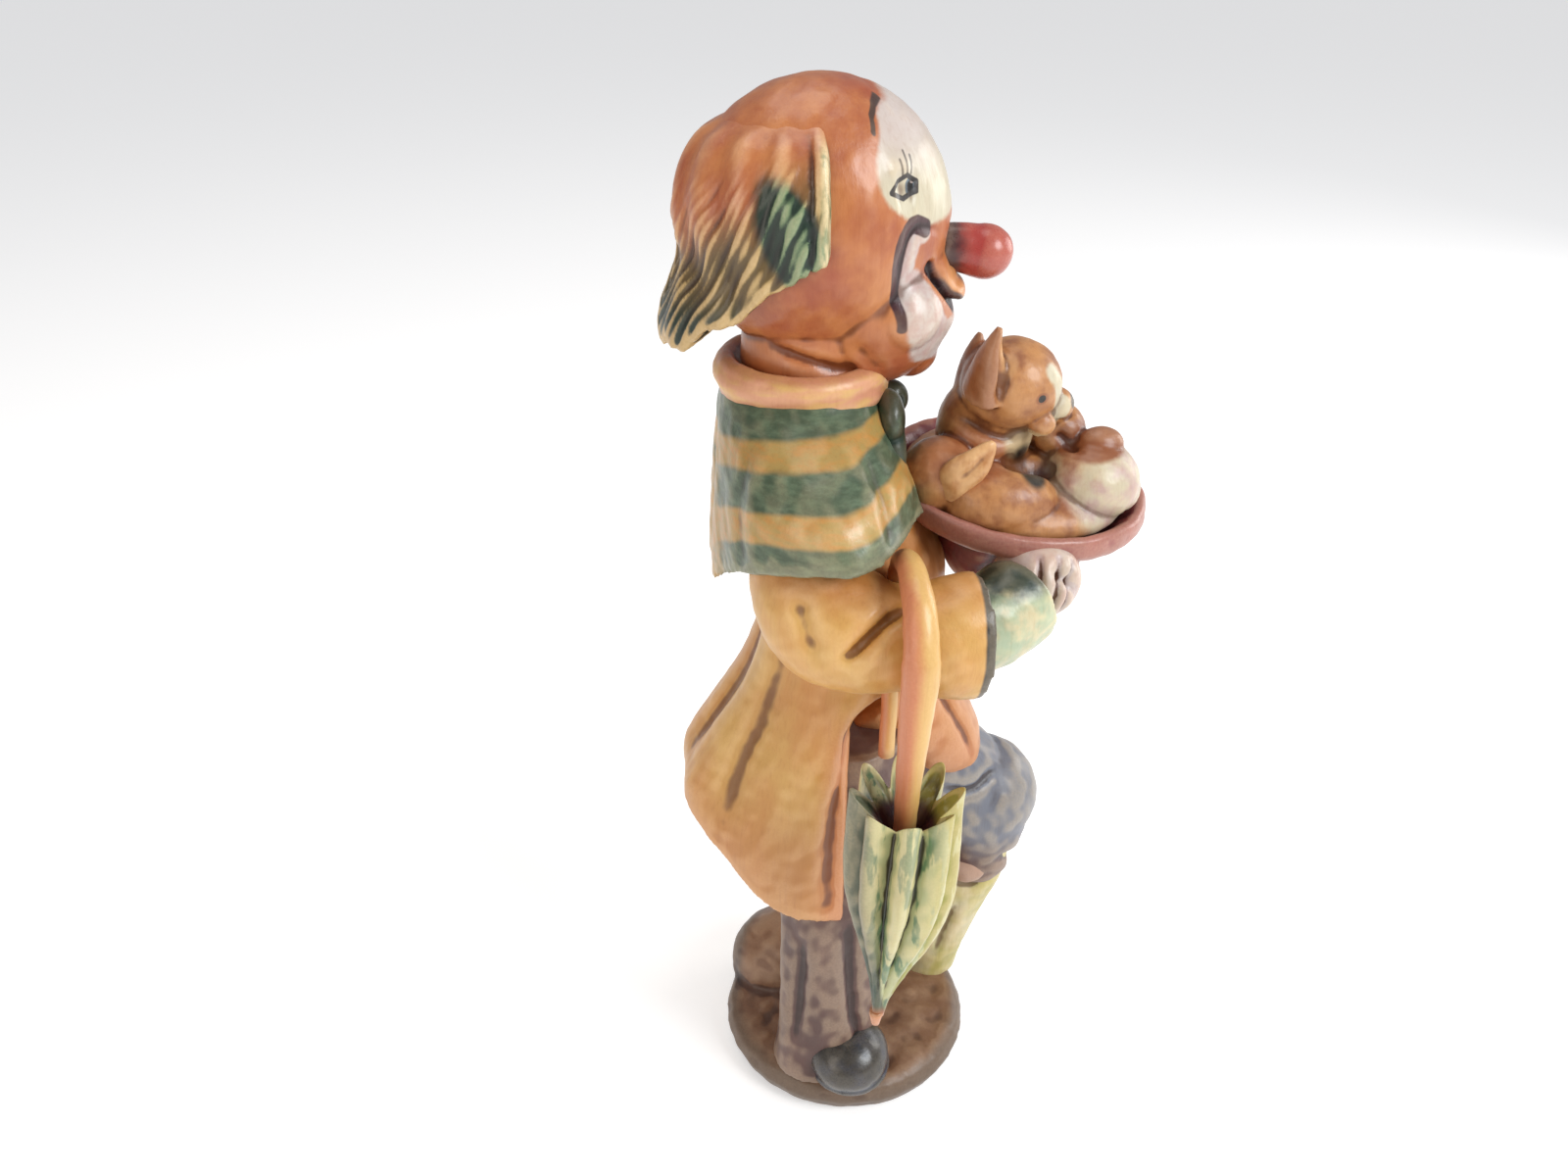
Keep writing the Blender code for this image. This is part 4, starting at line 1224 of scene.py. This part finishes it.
def paint_cuff(item):
    paint, c = Paint(item.name + "_paint"), colours()
    # Painted shade: dark green over the cuff's top
    top = (paint.z + paint.noise(1.8) * 2.0).rise(91.0, 93.0)
    paint.colour = paint.mix(paint.noise(2.5).rise(0.4, 0.7), c.cuff, c.cream)
    paint.lay(top, c.dark_green)
    paint.finish(item, gloss=0.28)


def paint_glove(item):
    paint, c = Paint(item.name + "_paint"), colours()
    paint.colour = paint.mix(paint.noise(3.0).rise(0.35, 0.7), c.white, c.pink)
    # Deeper brown between the fingers: glazed stain and painted shade
    paint.finish(item, gloss=0.34, glaze=1.0)


def paint_head(item):
    """Orange-brown skin with the clown's make-up, drawn on the face unrolled round the head's axis."""
    paint, c = Paint("head_paint"), colours()
    cloud = paint.noise(7.0, (1, 1, 1.3), 4.0, 0.6)
    fine = paint.noise(1.3, (1, 1, 1), 3.0)
    paint.colour = paint.mix(cloud.rise(0.3, 0.75), c.skin, c.skin_red)
    # Painted shade: redder under the jaw and down the neck
    paint.lay(paint.z.rise(116.0, 110.0) * 0.85, c.skin_red)
    # Painted highlights: lit orange on the near cheek and on the upper lip
    cheek = paint.spot((1.5, -10.0, 120.0), (6.0, 6.0, 6.5)).rise(1.0, 0.3)
    paint.lay(cheek * 0.35, c.skin_light)
    lip = paint.spot((8.6, 0.0, 121.6), (3.4, 6.0, 3.4)).rise(1.1, 0.6)
    paint.lay(lip * 0.7, c.skin_light)
    around = paint.around(paint.x - HEAD_AXIS, abs(paint.y)) * HEAD_GIRTH
    face = paint.flat(around, paint.z)
    ahead = paint.x.rise(-4.6, -3.4)
    patch = paint.stroke(face, [(0, 138.5), (8.3, 137.2), (9.7, 134.9), (6.5, 133.2), (0, 134.4)])
    patch = (patch + fine * 0.8).rise(4.9, 4.1) * ahead
    white = paint.mix((paint.z + cloud * 6.0).rise(135.0, 143.0), c.cream_white, c.white)
    paint.lay(patch, white)
    smile = paint.stroke(face, [(7.6, 128.7), (9.0, 128.4), (9.7, 126), (9.4, 123)])
    smile = (smile + fine * 0.4).rise(1.6, 1.1)
    chin = paint.stroke(face, [(8.8, 122.4), (7.8, 118.6), (5.6, 116.0), (0, 115.6)])
    chin = (chin + fine * 0.5).rise(3.0, 2.4) * paint.z.rise(112.4, 113.4)
    jaw = (paint.stroke(face, [(6.0, 116.0), (0, 114.8)]) + fine * 0.5).rise(2.9, 2.2)
    paint.lay(paint.most(smile, chin, jaw), paint.mix(fine.rise(0.35, 0.7), c.white, c.pink))
    line = [(7.2, 129.0), (9.0, 129.7), (10.5, 128.5), (11.1, 126.1)]
    line += [(10.9, 123.4), (10.6, 121), (10.6, 118.6)]
    line = [tuple(p) for p in smooth_rows(line, 16)]
    width = 0.30 + paint.z.rise(118.5, 127.0) * 0.60
    paint.lay((paint.stroke(face, line) - width).rise(0.22, 0.0), c.mouth_line)
    slit = paint.stroke(face, [(5.4, 124.2), (4.8, 122.6), (3.7, 120.8), (1.8, 118.9), (0, 118.5)])
    paint.lay(slit.rise(0.95, 0.6), c.mouth_line)
    eye = paint.stroke(face, [(11.1, 133.45), (9.1, 133.65)])
    paint.lay(eye.rise(1.0, 0.85), c.cream_white)
    iris = paint.stroke(face, [(8.95, 133.2), (8.95, 133.7)])
    paint.lay(iris.rise(0.82, 0.7) * eye.rise(1.0, 0.9), c.eye)
    paint.lay(iris.rise(0.5, 0.35), c.black)
    glint = paint.stroke(face, [(8.7, 134.0), (8.6, 134.0)])
    paint.lay(glint.rise(0.24, 0.12), c.white)
    rim = [(12.2, 133.3), (11.0, 134.3), (9.5, 134.75), (8.1, 134.0), (8.3, 133.0), (10.3, 132.5)]
    rim.append(rim[0])
    paint.lay(paint.stroke(face, rim).rise(0.34, 0.20), c.ink)
    lashes = paint.least(
        paint.stroke(face, [(9.5, 134.9), (9.3, 137.0)]),
        paint.stroke(face, [(8.8, 134.9), (8.4, 136.5)]),
        paint.stroke(face, [(10.2, 134.8), (10.4, 136.3)]),
    )
    paint.lay(lashes.rise(0.26, 0.10) * 0.75, c.ink)
    brow = paint.stroke(face, [(13.0, 139.0), (12.2, 140.3), (10.2, 141.3), (7.6, 141.9)])
    paint.lay(brow.rise(0.42, 0.24) * 0.9, c.ink)
    paint.finish(item, gloss=0.28, wear_and_highlight=0.3, mottle=0.22)


def paint_nose(item):
    paint, c = Paint("nose_paint"), colours()
    # Painted shade: the nose darkens to near black at its root against the face
    paint.colour = paint.mix((paint.x + paint.noise(1.5) * 1.5).rise(11.8, 9.6), c.nose, c.mouth_line)
    paint.finish(item, gloss=0.22, grain=0.4)


def paint_hair(item):
    """A bald orange crown that runs into olive locks with painted golden highlights on their crests, dark
    green in the hollow and at the tips.
    """
    paint, c = Paint("hair_paint"), colours()
    cloud = paint.noise(5.0, (1, 1, 1.5), 4.0, 0.6)
    crest = paint.noted("crest")
    hollow = paint.noted("hollow")
    paint.colour = paint.mix(cloud.rise(0.3, 0.75), c.skin, c.skin_red)
    low = (paint.z - paint.x * 0.62 + cloud * 6.0 - 3.0).rise(145.0, 137.0)
    # Painted highlights: golden on the crests of the locks, olive in their hollows
    locks = paint.mix((crest - hollow * 0.5 + cloud * 0.3).rise(0.22, 0.75), c.hair, c.hair_gold)
    paint.lay(low, locks)
    # Dark green in the hollow, with painted green highlights on its crests
    pit = paint.spot((-10.4, 0.0, 129.0), (3.5, 60.0, 7.0), (0, -28, 0)) + cloud * 0.5
    paint.lay(pit.rise(1.35, 1.05), paint.mix(crest.rise(0.1, 0.6), c.dark_green, c.green))
    # Dark green towards the tips, except on the crests, which keep their painted highlight
    tips = (paint.z + cloud * 4.0 - paint.x * 0.10).rise(127.6, 123.2)
    paint.lay(tips * (1 - crest.rise(0.25, 0.8)), c.dark_green)
    # Painted highlight of cream and green along the front edge of the locks
    front = paint.x.rise(-8.0, -7.2) * paint.z.rise(124.5, 126.5) * paint.z.rise(139.5, 137.0)
    edge = paint.mix(paint.noise(0.8, (1, 1, 4)).rise(0.4, 0.65), c.cream, c.green)
    paint.lay(front * 0.9, edge)
    rim = paint.spot((-10.6, 0.0, 119.6), (3.6, 60.0, 2.4), (0, -30, 0)).rise(1.1, 0.8)
    paint.lay(rim * paint.x.rise(-14.0, -12.6) * 0.7, c.skin)
    paint.finish(item, gloss=0.30, wear_and_highlight=0.9)


def paint_hat(item):
    """Dark red, paler on the brim's lip and pinkish in streaks, both painted highlights, with a dark inside.
    """
    paint, c = Paint("hat_paint"), colours()
    cloud = paint.noise(4.0, (1, 1, 1), 4.0)
    paint.colour = paint.mix(cloud.rise(0.4, 0.75), c.hat, c.hat_pale)
    # Painted highlight: paler along the top of the brim's lip
    level = paint.z - paint.x * -0.13 - paint.y * 0.158
    brim = (level + cloud * 1.2).rise(94.8, 96.0)
    paint.lay(brim * 0.75, c.hat_pale)
    # Painted pinkish highlights in thin level streaks
    streak = paint.noise(0.8, (4, 4, 1), 3.0).rise(0.55, 0.75)
    paint.lay(streak * 0.35, c.hat_pink)
    paint.finish(item, gloss=0.30, wear_and_highlight=0.7)


def paint_puppies(item):
    """Tan and white fur with dark eyes, noses and ear backs."""
    paint, c = Paint("puppy_paint"), colours()
    cloud = paint.noise(3.0, (1, 1, 1), 4.0)
    tan = paint.mix(cloud.rise(0.35, 0.75), c.puppy, c.puppy_brown)
    # The one in front is white with a brown ear
    front = (paint.spot((29.4, -4.0, 95.6), (8.4, 8.6, 6.4)) + cloud * 0.3).rise(1.25, 1.0)
    paint.colour = paint.mix(front, tan, paint.mix(cloud.rise(0.4, 0.7), c.cream_white, c.pink))
    far = (paint.spot((26.0, 5.0, 97.0), (8.0, 6.0, 5.0)) + cloud * 0.3).rise(1.25, 1.0)
    paint.lay(far * 0.7, c.cream_white)
    patch = (paint.spot((27.4, -3.6, 101.6), (4.6, 4.6, 2.9)) + cloud * 0.3).rise(1.2, 1.0)
    paint.lay(patch, c.puppy_brown)
    # The one that sits up has a white blaze
    blaze = paint.stroke(paint.grid, [(20.6, -4.6, 111.0), (23.4, -3.8, 106.6), (22.6, -4.8, 103.4)])
    blaze = (blaze + cloud * 0.8).rise(2.0, 1.5)
    paint.lay(blaze, c.cream_white)
    chest = (paint.spot((19.4, -4.4, 102.0), (3.6, 3.4, 2.6)) + cloud * 0.4).rise(1.25, 0.95)
    paint.lay(chest * 0.7, c.cream)
    # Ear backs and the near one's brown back
    ear = paint.x.rise(14.6, 13.4) * paint.z.rise(107.0, 109.0)
    paint.lay(ear * 0.85, c.puppy_brown)
    lit = paint.stroke(paint.grid, [(15.6, -5.2, 111.6), (15.2, -6.0, 115.4)]).rise(1.6, 0.8)
    paint.lay(lit * 0.6, c.puppy_light)
    back = (paint.spot((11.0, -6.0, 100.6), (6.4, 5.0, 4.4)) + cloud * 0.3).rise(1.2, 0.9)
    paint.lay(back * 0.7, c.puppy_red)
    # Painted shade: black in the deep gap between the puppies
    pit = paint.spot((19.4, -7.0, 100.2), (2.1, 5.0, 2.1)).rise(1.15, 0.75)
    paint.lay(pit, c.black)
    # Eyes, noses and mouths
    for eye in ((19.6, -6.6, 108.8), (24.2, 0.6, 108.6), (31.4, -6.8, 98.0)):
        socket = paint.spot(eye, (0.95, 1.2, 0.75)).rise(1.15, 0.8)
        paint.lay(socket * 0.8, c.puppy_brown)
        paint.lay(paint.spot(eye, (0.6, 1.0, 0.55)).rise(1.0, 0.8), c.black)
    for nose, radii in (((24.9, -1.6, 106.4), (1.2, 1.5, 1.0)), ((34.4, -3.4, 96.4), (1.2, 1.5, 1.0))):
        paint.lay(paint.spot(nose, radii).rise(1.15, 0.9), c.ink)
    mouth = paint.stroke(paint.grid, [(30.8, -6.4, 94.6), (33.8, -5.0, 94.6), (35.2, -2.0, 94.8)])
    paint.lay(mouth.rise(0.5, 0.2) * 0.8, c.mouth_line)
    paint.finish(item, gloss=0.34, wear_and_highlight=0.4)


def paint_ear(item):
    paint, c = Paint("ear_paint"), colours()
    paint.colour = paint.mix(paint.noise(2.0).rise(0.4, 0.7), c.puppy_light, c.puppy)
    paint.lay(paint.y.rise(-9.6, -8.8) * 0.8, c.puppy_brown)
    paint.finish(item, gloss=0.34)


def paint_handle(item):
    paint, c = Paint("handle_paint"), colours()
    # Lit and shaded copies: the front half painted lit in yellow, the back half painted in shade in salmon
    lit = (paint.x + paint.noise(3.0, (1, 1, 3)) * 1.6).rise(1.6, 3.4)
    paint.colour = paint.mix(lit, c.handle, c.coat_yellow)
    paint.finish(item, gloss=0.30)


def paint_canopy(item):
    """Cream flutes with green strokes, a dark green one behind and a yellow-green one in front."""
    paint, c = Paint("canopy_paint"), colours()
    angle = paint.around(paint.x - 0.6, paint.y + 30.0)
    strokes = paint.noise(1.5, (1, 1, 4.5), 3.0).rise(0.50, 0.60)
    paint.colour = paint.mix(strokes * 0.85, c.canopy, c.green)
    olive = angle.rise(-1.05, -0.75) * angle.rise(1.0, 0.7)
    paint.lay(olive, paint.mix(strokes, c.olive, c.canopy))
    dark = paint.most(angle.rise(-2.1, -2.5), angle.rise(2.3, 2.6))
    paint.lay(dark * 0.85, c.dark_green)
    # Painted shade in the valleys between the flutes
    valley = paint.noted("hollow").rise(0.25, 0.8)
    paint.lay(valley * 0.7, c.dark_green)
    out = paint.math("SQRT", (paint.x - 1.4) * (paint.x - 1.4) + (paint.y + 30.2) * (paint.y + 30.2))
    # Painted shade: near black inside the canopy's open top
    inside = out.rise(4.4, 3.2) * paint.z.rise(61.0, 63.0)
    paint.lay(inside, c.mouth_line)
    paint.lay(paint.z.rise(34.0, 31.0), c.coat_red)
    paint.finish(item, gloss=0.26, wear_and_highlight=0.8)


# Camera, light and floor

# The camera of the photograph: lens in mm, angles in degrees, its place in metres
CAMERA_LENS = 27.0
CAMERA_TURN = 5
CAMERA_PITCH = 31
CAMERA_BACK = 0.135
CAMERA_LEFT = 0.0102
CAMERA_HEIGHT = 0.16695
FLOOR_HALF_WIDTH = 5.0


def build_stage():
    """The floor, the lights and the camera."""
    s = sizes()
    scene = bpy.context.scene
    bm = bmesh.new()
    bmesh.ops.create_grid(bm, x_segments=2, y_segments=2, size=FLOOR_HALF_WIDTH)
    mesh = bpy.data.meshes.new("floor")
    bm.to_mesh(mesh)
    bm.free()
    floor = bpy.data.objects.new("floor", mesh)
    scene.collection.objects.link(floor)
    material = bpy.data.materials.new("floor_paint")
    material.use_nodes = True
    shader = material.node_tree.nodes["Principled BSDF"]
    shader.inputs["Base Color"].default_value = (*colours().floor, 1.0)
    shader.inputs["Roughness"].default_value = 0.85
    shader.inputs["Emission Color"].default_value = (1.0, 1.0, 1.0, 1.0)
    shader.inputs["Emission Strength"].default_value = s.floor_glow
    mesh.materials.append(material)

    world = bpy.data.worlds.new("room")
    scene.world = world
    world.use_nodes = True
    world.node_tree.nodes["Background"].inputs["Color"].default_value = (0.93, 0.95, 1.0, 1.0)
    world.node_tree.nodes["Background"].inputs["Strength"].default_value = s.room_light

    target = Vector((0.0, 0.0, 0.085))
    # Each light: name, place, width, power, colour
    lights = [
        ("window", (0.42, -0.34, 0.46), 0.34, 5.2, (0.93, 0.97, 1.0)),
        ("front", (0.55, 0.20, 0.20), 0.30, 1.6, (1.0, 0.98, 0.95)),
        ("fill", (-0.50, -0.42, 0.30), 0.50, 2.2, (1.0, 0.90, 0.78)),
        ("top", (-0.05, 0.10, 0.62), 0.40, 1.5, (1.0, 0.96, 0.90)),
    ]
    for name, spot, width, power, colour in lights:
        light = bpy.data.lights.new(name, "AREA")
        light.shape = "DISK"
        light.size = width
        light.energy = power * s.light_power
        light.color = colour
        lamp = bpy.data.objects.new(name, light)
        lamp.location = spot
        lamp.rotation_mode = "QUATERNION"
        lamp.rotation_quaternion = (target - Vector(spot)).to_track_quat("-Z", "Y")
        scene.collection.objects.link(lamp)

    lens = bpy.data.cameras.new("camera")
    lens.lens = CAMERA_LENS
    lens.sensor_width = 36.0
    lens.clip_start = 0.005
    lens.clip_end = 20.0
    camera = bpy.data.objects.new("camera", lens)
    turn, pitch = math.radians(CAMERA_TURN), math.radians(CAMERA_PITCH)
    ahead = Vector((math.sin(turn), math.cos(turn), 0))
    beside = Vector((math.cos(turn), -math.sin(turn), 0))
    camera.location = -CAMERA_BACK * ahead - CAMERA_LEFT * beside + Vector((0, 0, CAMERA_HEIGHT))
    sight = math.cos(pitch) * ahead - math.sin(pitch) * Vector((0, 0, 1))
    camera.rotation_mode = "QUATERNION"
    camera.rotation_quaternion = sight.to_track_quat("-Z", "Y")
    scene.collection.objects.link(camera)
    scene.camera = camera
    scene.view_settings.view_transform = "Standard"


# The add-on


# Driving sizes in metres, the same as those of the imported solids
LENGTHS = {
    "figure_height": ("Height of the carving above its base", 0.144),
    "base_radius": ("Radius of the round base", 0.0198),
    "base_height": ("Height of the base's rim", 0.006),
    "base_rounding": ("How far the base's edges are rounded in", 0.0020),
    "brim_half_length": ("Half the hat brim's length", 0.0172),
    "brim_half_width": ("Half the hat brim's width", 0.0146),
    "crown_depth": ("Depth of the hat's crown under the brim", 0.0125),
    "forearm_half_width": ("Half the sleeve's width where the umbrella hangs", 0.0063),
    "forearm_half_height": ("Half the sleeve's height where the umbrella hangs", 0.0062),
    "handle_radius": ("Radius of the umbrella's handle", 0.0022),
    "crook_end_radius": ("Radius of the crook's thin end", 0.0011),
    "crook_end_drop": ("How far the crook's end hangs below its bend", 0.0245),
    "handle_drop": ("Length of the handle above the canopy", 0.019),
    "canopy_length": ("Length of the furled canopy", 0.037),
    "canopy_radius": ("Radius of the furled canopy at its rim", 0.0068),
    "ferrule_length": ("Length of the tip under the canopy", 0.002),
    "tip_height": ("How far the flutes' tips stand above the rim", 0.0034),
    "hollow_depth": ("Depth of the canopy's open top", 0.0058),
    "fit_gap": ("Room between the handle and the sleeve", 0.0003),
}

# Shares and strengths
SHARES = {
    "base_width_share": ("Width of the base as a share of its depth", 0.955),
    "room_light": ("Light from all round", 0.36),
    "floor_glow": ("Keeps the far floor pale", 0.45),
    "light_power": ("Strength of the lamps", 0.62),
}


def label(name):
    return name.replace("_", " ").capitalize()


def length(name):
    text, value = LENGTHS[name]
    return bpy.props.FloatProperty(
        name=label(name), description=text, default=value, min=0.0, unit="LENGTH", precision=4
    )


def share(name):
    text, value = SHARES[name]
    return bpy.props.FloatProperty(name=label(name), description=text, default=value, min=0.0)


class ClownSizes(bpy.types.PropertyGroup):
    """Driving sizes, and the strengths of the lights."""

    __annotations__ = {name: length(name) for name in LENGTHS} | {name: share(name) for name in SHARES}


# Paint colours: what each is for, and its linear red, green and blue
SHADES = {
    "skin": ("Orange-brown of the head", (0.52, 0.19, 0.06)),
    "skin_red": ("Redder shade of the head and neck", (0.34, 0.08, 0.032)),
    "white": ("White of the make-up and gloves", (0.56, 0.48, 0.44)),
    "pink": ("Pinkish white", (0.5, 0.35, 0.32)),
    "cream": ("Cream lights", (0.62, 0.55, 0.34)),
    "cream_white": ("Yellowish white", (0.56, 0.5, 0.36)),
    "skin_light": ("Lit orange of the cheeks and lip", (0.66, 0.3, 0.11)),
    "eye": ("Grey-blue of the iris", (0.13, 0.17, 0.2)),
    "ink": ("Thin drawn lines", (0.035, 0.028, 0.026)),
    "hair_gold": ("Golden lights of the hair", (0.36, 0.24, 0.075)),
    "hat_pink": ("Pinkish lights of the brim", (0.36, 0.1, 0.11)),
    "puppy_light": ("Lit fur", (0.66, 0.38, 0.17)),
    "puppy_red": ("Reddish fur", (0.36, 0.11, 0.04)),
    # Also the painted shade at the nose's root and inside the canopy's open top
    "mouth_line": ("Dark line round the mouth", (0.055, 0.016, 0.02)),
    "nose": ("Red of the nose", (0.36, 0.045, 0.036)),
    "hair": ("Olive of the hair", (0.12, 0.075, 0.022)),
    # Also the painted shade on the cuffs' tops and in the canopy's valleys
    "dark_green": ("Hair tips and bow", (0.01, 0.026, 0.014)),
    "green": ("Bright green", (0.055, 0.16, 0.07)),
    "coat": ("Orange of the coat", (0.56, 0.25, 0.06)),
    "coat_yellow": ("Yellower parts of the coat", (0.62, 0.36, 0.1)),
    "coat_red": ("Redder shade of the coat", (0.42, 0.12, 0.03)),
    "sleeve": ("Orange-yellow of the sleeves", (0.62, 0.31, 0.08)),
    "cape_green": ("Green bands of the cape", (0.06, 0.09, 0.05)),
    "cape_green_pale": ("Paler strokes in the green bands", (0.12, 0.17, 0.1)),
    "cape_yellow": ("Yellow bands of the cape", (0.4, 0.27, 0.08)),
    "cape_orange": ("Orange strokes in the yellow bands", (0.5, 0.25, 0.06)),
    "collar": ("Salmon of the collar", (0.62, 0.27, 0.16)),
    "cuff": ("Pale green of the cuffs", (0.4, 0.47, 0.31)),
    "hat": ("Dark red of the hat", (0.13, 0.014, 0.02)),
    # Also the painted highlight along the brim's lip
    "hat_pale": ("Rubbed red of the brim", (0.25, 0.034, 0.04)),
    "puppy": ("Tan of the puppies", (0.5, 0.23, 0.08)),
    "puppy_brown": ("Brown of the puppies", (0.26, 0.085, 0.03)),
    "trouser": ("Mauve-brown of the trousers", (0.085, 0.038, 0.03)),
    "trouser_pale": ("Paler mauve of the trousers", (0.14, 0.068, 0.055)),
    "trouser_pink": ("Pinkish lining under the knee", (0.34, 0.2, 0.16)),
    # The grey-blue is a painted reflection of the bluish window light
    "knee": ("Grey-blue of the knee", (0.17, 0.2, 0.25)),
    "stocking": ("Olive-yellow of the shin", (0.44, 0.4, 0.11)),
    "shoe": ("Black of the shoes", (0.006, 0.007, 0.01)),
    "shoe_blue": ("Blue light on the shoes", (0.012, 0.02, 0.05)),
    "base": ("Brown of the base", (0.2, 0.095, 0.045)),
    "base_pale": ("Paler brown of the base", (0.33, 0.2, 0.12)),
    "base_rim": ("Dark rim of the base", (0.045, 0.02, 0.012)),
    "handle": ("Salmon of the umbrella's handle", (0.52, 0.14, 0.05)),
    "canopy": ("Pale green of the umbrella", (0.45, 0.47, 0.24)),
    "olive": ("Olive flutes of the umbrella", (0.32, 0.31, 0.05)),
    # Also the painted shade in the puppies' gap and inside the sleeves' mouths
    "black": ("Black of the sleeve rims", (0.01, 0.008, 0.007)),
    # Darker hollows: partly a glazed stain, partly painted shade
    "glaze": ("Dark glaze in the hollows", (0.2, 0.09, 0.045)),
    "glaze_soft": ("Thin glaze over the paint", (0.72, 0.55, 0.42)),
    # Paler crests: partly worn paint, partly a painted highlight
    "rubbed": ("Crests rubbed paler", (0.8, 0.66, 0.46)),
    "floor": ("The plain floor", (0.8, 0.79, 0.78)),
}


def shade(name):
    text, value = SHADES[name]
    return bpy.props.FloatVectorProperty(
        name=label(name), description=text, default=value, size=3, min=0.0, max=1.0, subtype="COLOR"
    )


class ClownColours(bpy.types.PropertyGroup):
    """Paint colours."""

    __annotations__ = {name: shade(name) for name in SHADES}


class CLOWN_OT_base(bpy.types.Operator):
    """Model and paint the round base."""

    bl_idname = "clown.base"
    bl_label = "Base"

    def execute(self, context):
        paint_base(build_base())
        return {"FINISHED"}


class CLOWN_OT_legs(bpy.types.Operator):
    """Model and paint the trousers, the shin and the shoes."""

    bl_idname = "clown.legs"
    bl_label = "Legs and shoes"

    def execute(self, context):
        paint_trouser(build_right_leg())
        knee, shin = build_left_leg()
        paint_trouser(knee)
        paint_shin(shin)
        paint_shoes(build_shoes())
        return {"FINISHED"}


class CLOWN_OT_coat(bpy.types.Operator):
    """Model and paint the long coat."""

    bl_idname = "clown.coat"
    bl_label = "Coat"

    def execute(self, context):
        paint_coat(build_coat())
        return {"FINISHED"}


class CLOWN_OT_arms(bpy.types.Operator):
    """Model and paint the sleeves, cuffs and gloves."""

    bl_idname = "clown.arms"
    bl_label = "Arms"

    def execute(self, context):
        for side in (-1, 1):
            sleeve, cuff, glove = build_arm(side)
            paint_sleeve(sleeve)
            paint_cuff(cuff)
            paint_glove(glove)
        return {"FINISHED"}


class CLOWN_OT_cape(bpy.types.Operator):
    """Model and paint the cape, the collar and the bow."""

    bl_idname = "clown.cape"
    bl_label = "Cape, collar and bow"

    def execute(self, context):
        paint_cape(build_cape())
        paint_collar(build_collar())
        paint_bow(build_bow())
        return {"FINISHED"}


class CLOWN_OT_head(bpy.types.Operator):
    """Model and paint the head and the nose."""

    bl_idname = "clown.head"
    bl_label = "Head and nose"

    def execute(self, context):
        paint_head(build_head())
        paint_nose(build_nose())
        return {"FINISHED"}


class CLOWN_OT_hair(bpy.types.Operator):
    """Model and paint the fringe of hair."""

    bl_idname = "clown.hair"
    bl_label = "Hair"

    def execute(self, context):
        paint_hair(build_hair())
        return {"FINISHED"}


class CLOWN_OT_hat(bpy.types.Operator):
    """Model and paint the upturned hat."""

    bl_idname = "clown.hat"
    bl_label = "Hat"

    def execute(self, context):
        paint_hat(build_hat())
        return {"FINISHED"}


class CLOWN_OT_puppies(bpy.types.Operator):
    """Model and paint the three puppies."""

    bl_idname = "clown.puppies"
    bl_label = "Puppies"

    def execute(self, context):
        puppies, ear = build_puppies()
        paint_puppies(puppies)
        paint_ear(ear)
        return {"FINISHED"}


class CLOWN_OT_umbrella(bpy.types.Operator):
    """Model and paint the umbrella."""

    bl_idname = "clown.umbrella"
    bl_label = "Umbrella"

    def execute(self, context):
        paint_handle(build_handle())
        paint_canopy(build_canopy())
        return {"FINISHED"}


class CLOWN_OT_stage(bpy.types.Operator):
    """Set up the floor, the lights and the camera."""

    bl_idname = "clown.stage"
    bl_label = "Stage"

    def execute(self, context):
        build_stage()
        return {"FINISHED"}


class CLOWN_PT_panel(bpy.types.Panel):
    """The clown's sizes, colours and pieces."""

    bl_idname = "CLOWN_PT_panel"
    bl_label = "Carved clown"
    bl_space_type = "VIEW_3D"
    bl_region_type = "UI"
    bl_category = "Carving"

    def draw(self, context):
        for group in (context.scene.clown_sizes, context.scene.clown_colours):
            box = self.layout.box()
            for name in group.__annotations__:
                box.prop(group, name)
        for operator in OPERATORS:
            self.layout.operator(operator.bl_idname)


OPERATORS = (
    CLOWN_OT_base,
    CLOWN_OT_legs,
    CLOWN_OT_coat,
    CLOWN_OT_arms,
    CLOWN_OT_cape,
    CLOWN_OT_head,
    CLOWN_OT_hair,
    CLOWN_OT_hat,
    CLOWN_OT_puppies,
    CLOWN_OT_umbrella,
    CLOWN_OT_stage,
)
GROUPS = (ClownSizes, ClownColours)


def register():
    for item in (*GROUPS, *OPERATORS, CLOWN_PT_panel):
        bpy.utils.register_class(item)
    bpy.types.Scene.clown_sizes = bpy.props.PointerProperty(type=ClownSizes)
    bpy.types.Scene.clown_colours = bpy.props.PointerProperty(type=ClownColours)


def unregister():
    del bpy.types.Scene.clown_colours
    del bpy.types.Scene.clown_sizes
    for item in (CLOWN_PT_panel, *reversed(OPERATORS), *GROUPS):
        bpy.utils.unregister_class(item)


def main():
    """Model, paint and light everything in order."""
    register()
    bpy.ops.clown.base()
    bpy.ops.clown.legs()
    bpy.ops.clown.coat()
    bpy.ops.clown.arms()
    bpy.ops.clown.cape()
    bpy.ops.clown.head()
    bpy.ops.clown.hair()
    bpy.ops.clown.hat()
    bpy.ops.clown.puppies()
    bpy.ops.clown.umbrella()
    bpy.ops.clown.stage()


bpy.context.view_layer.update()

if __name__ == "__main__":
    main()
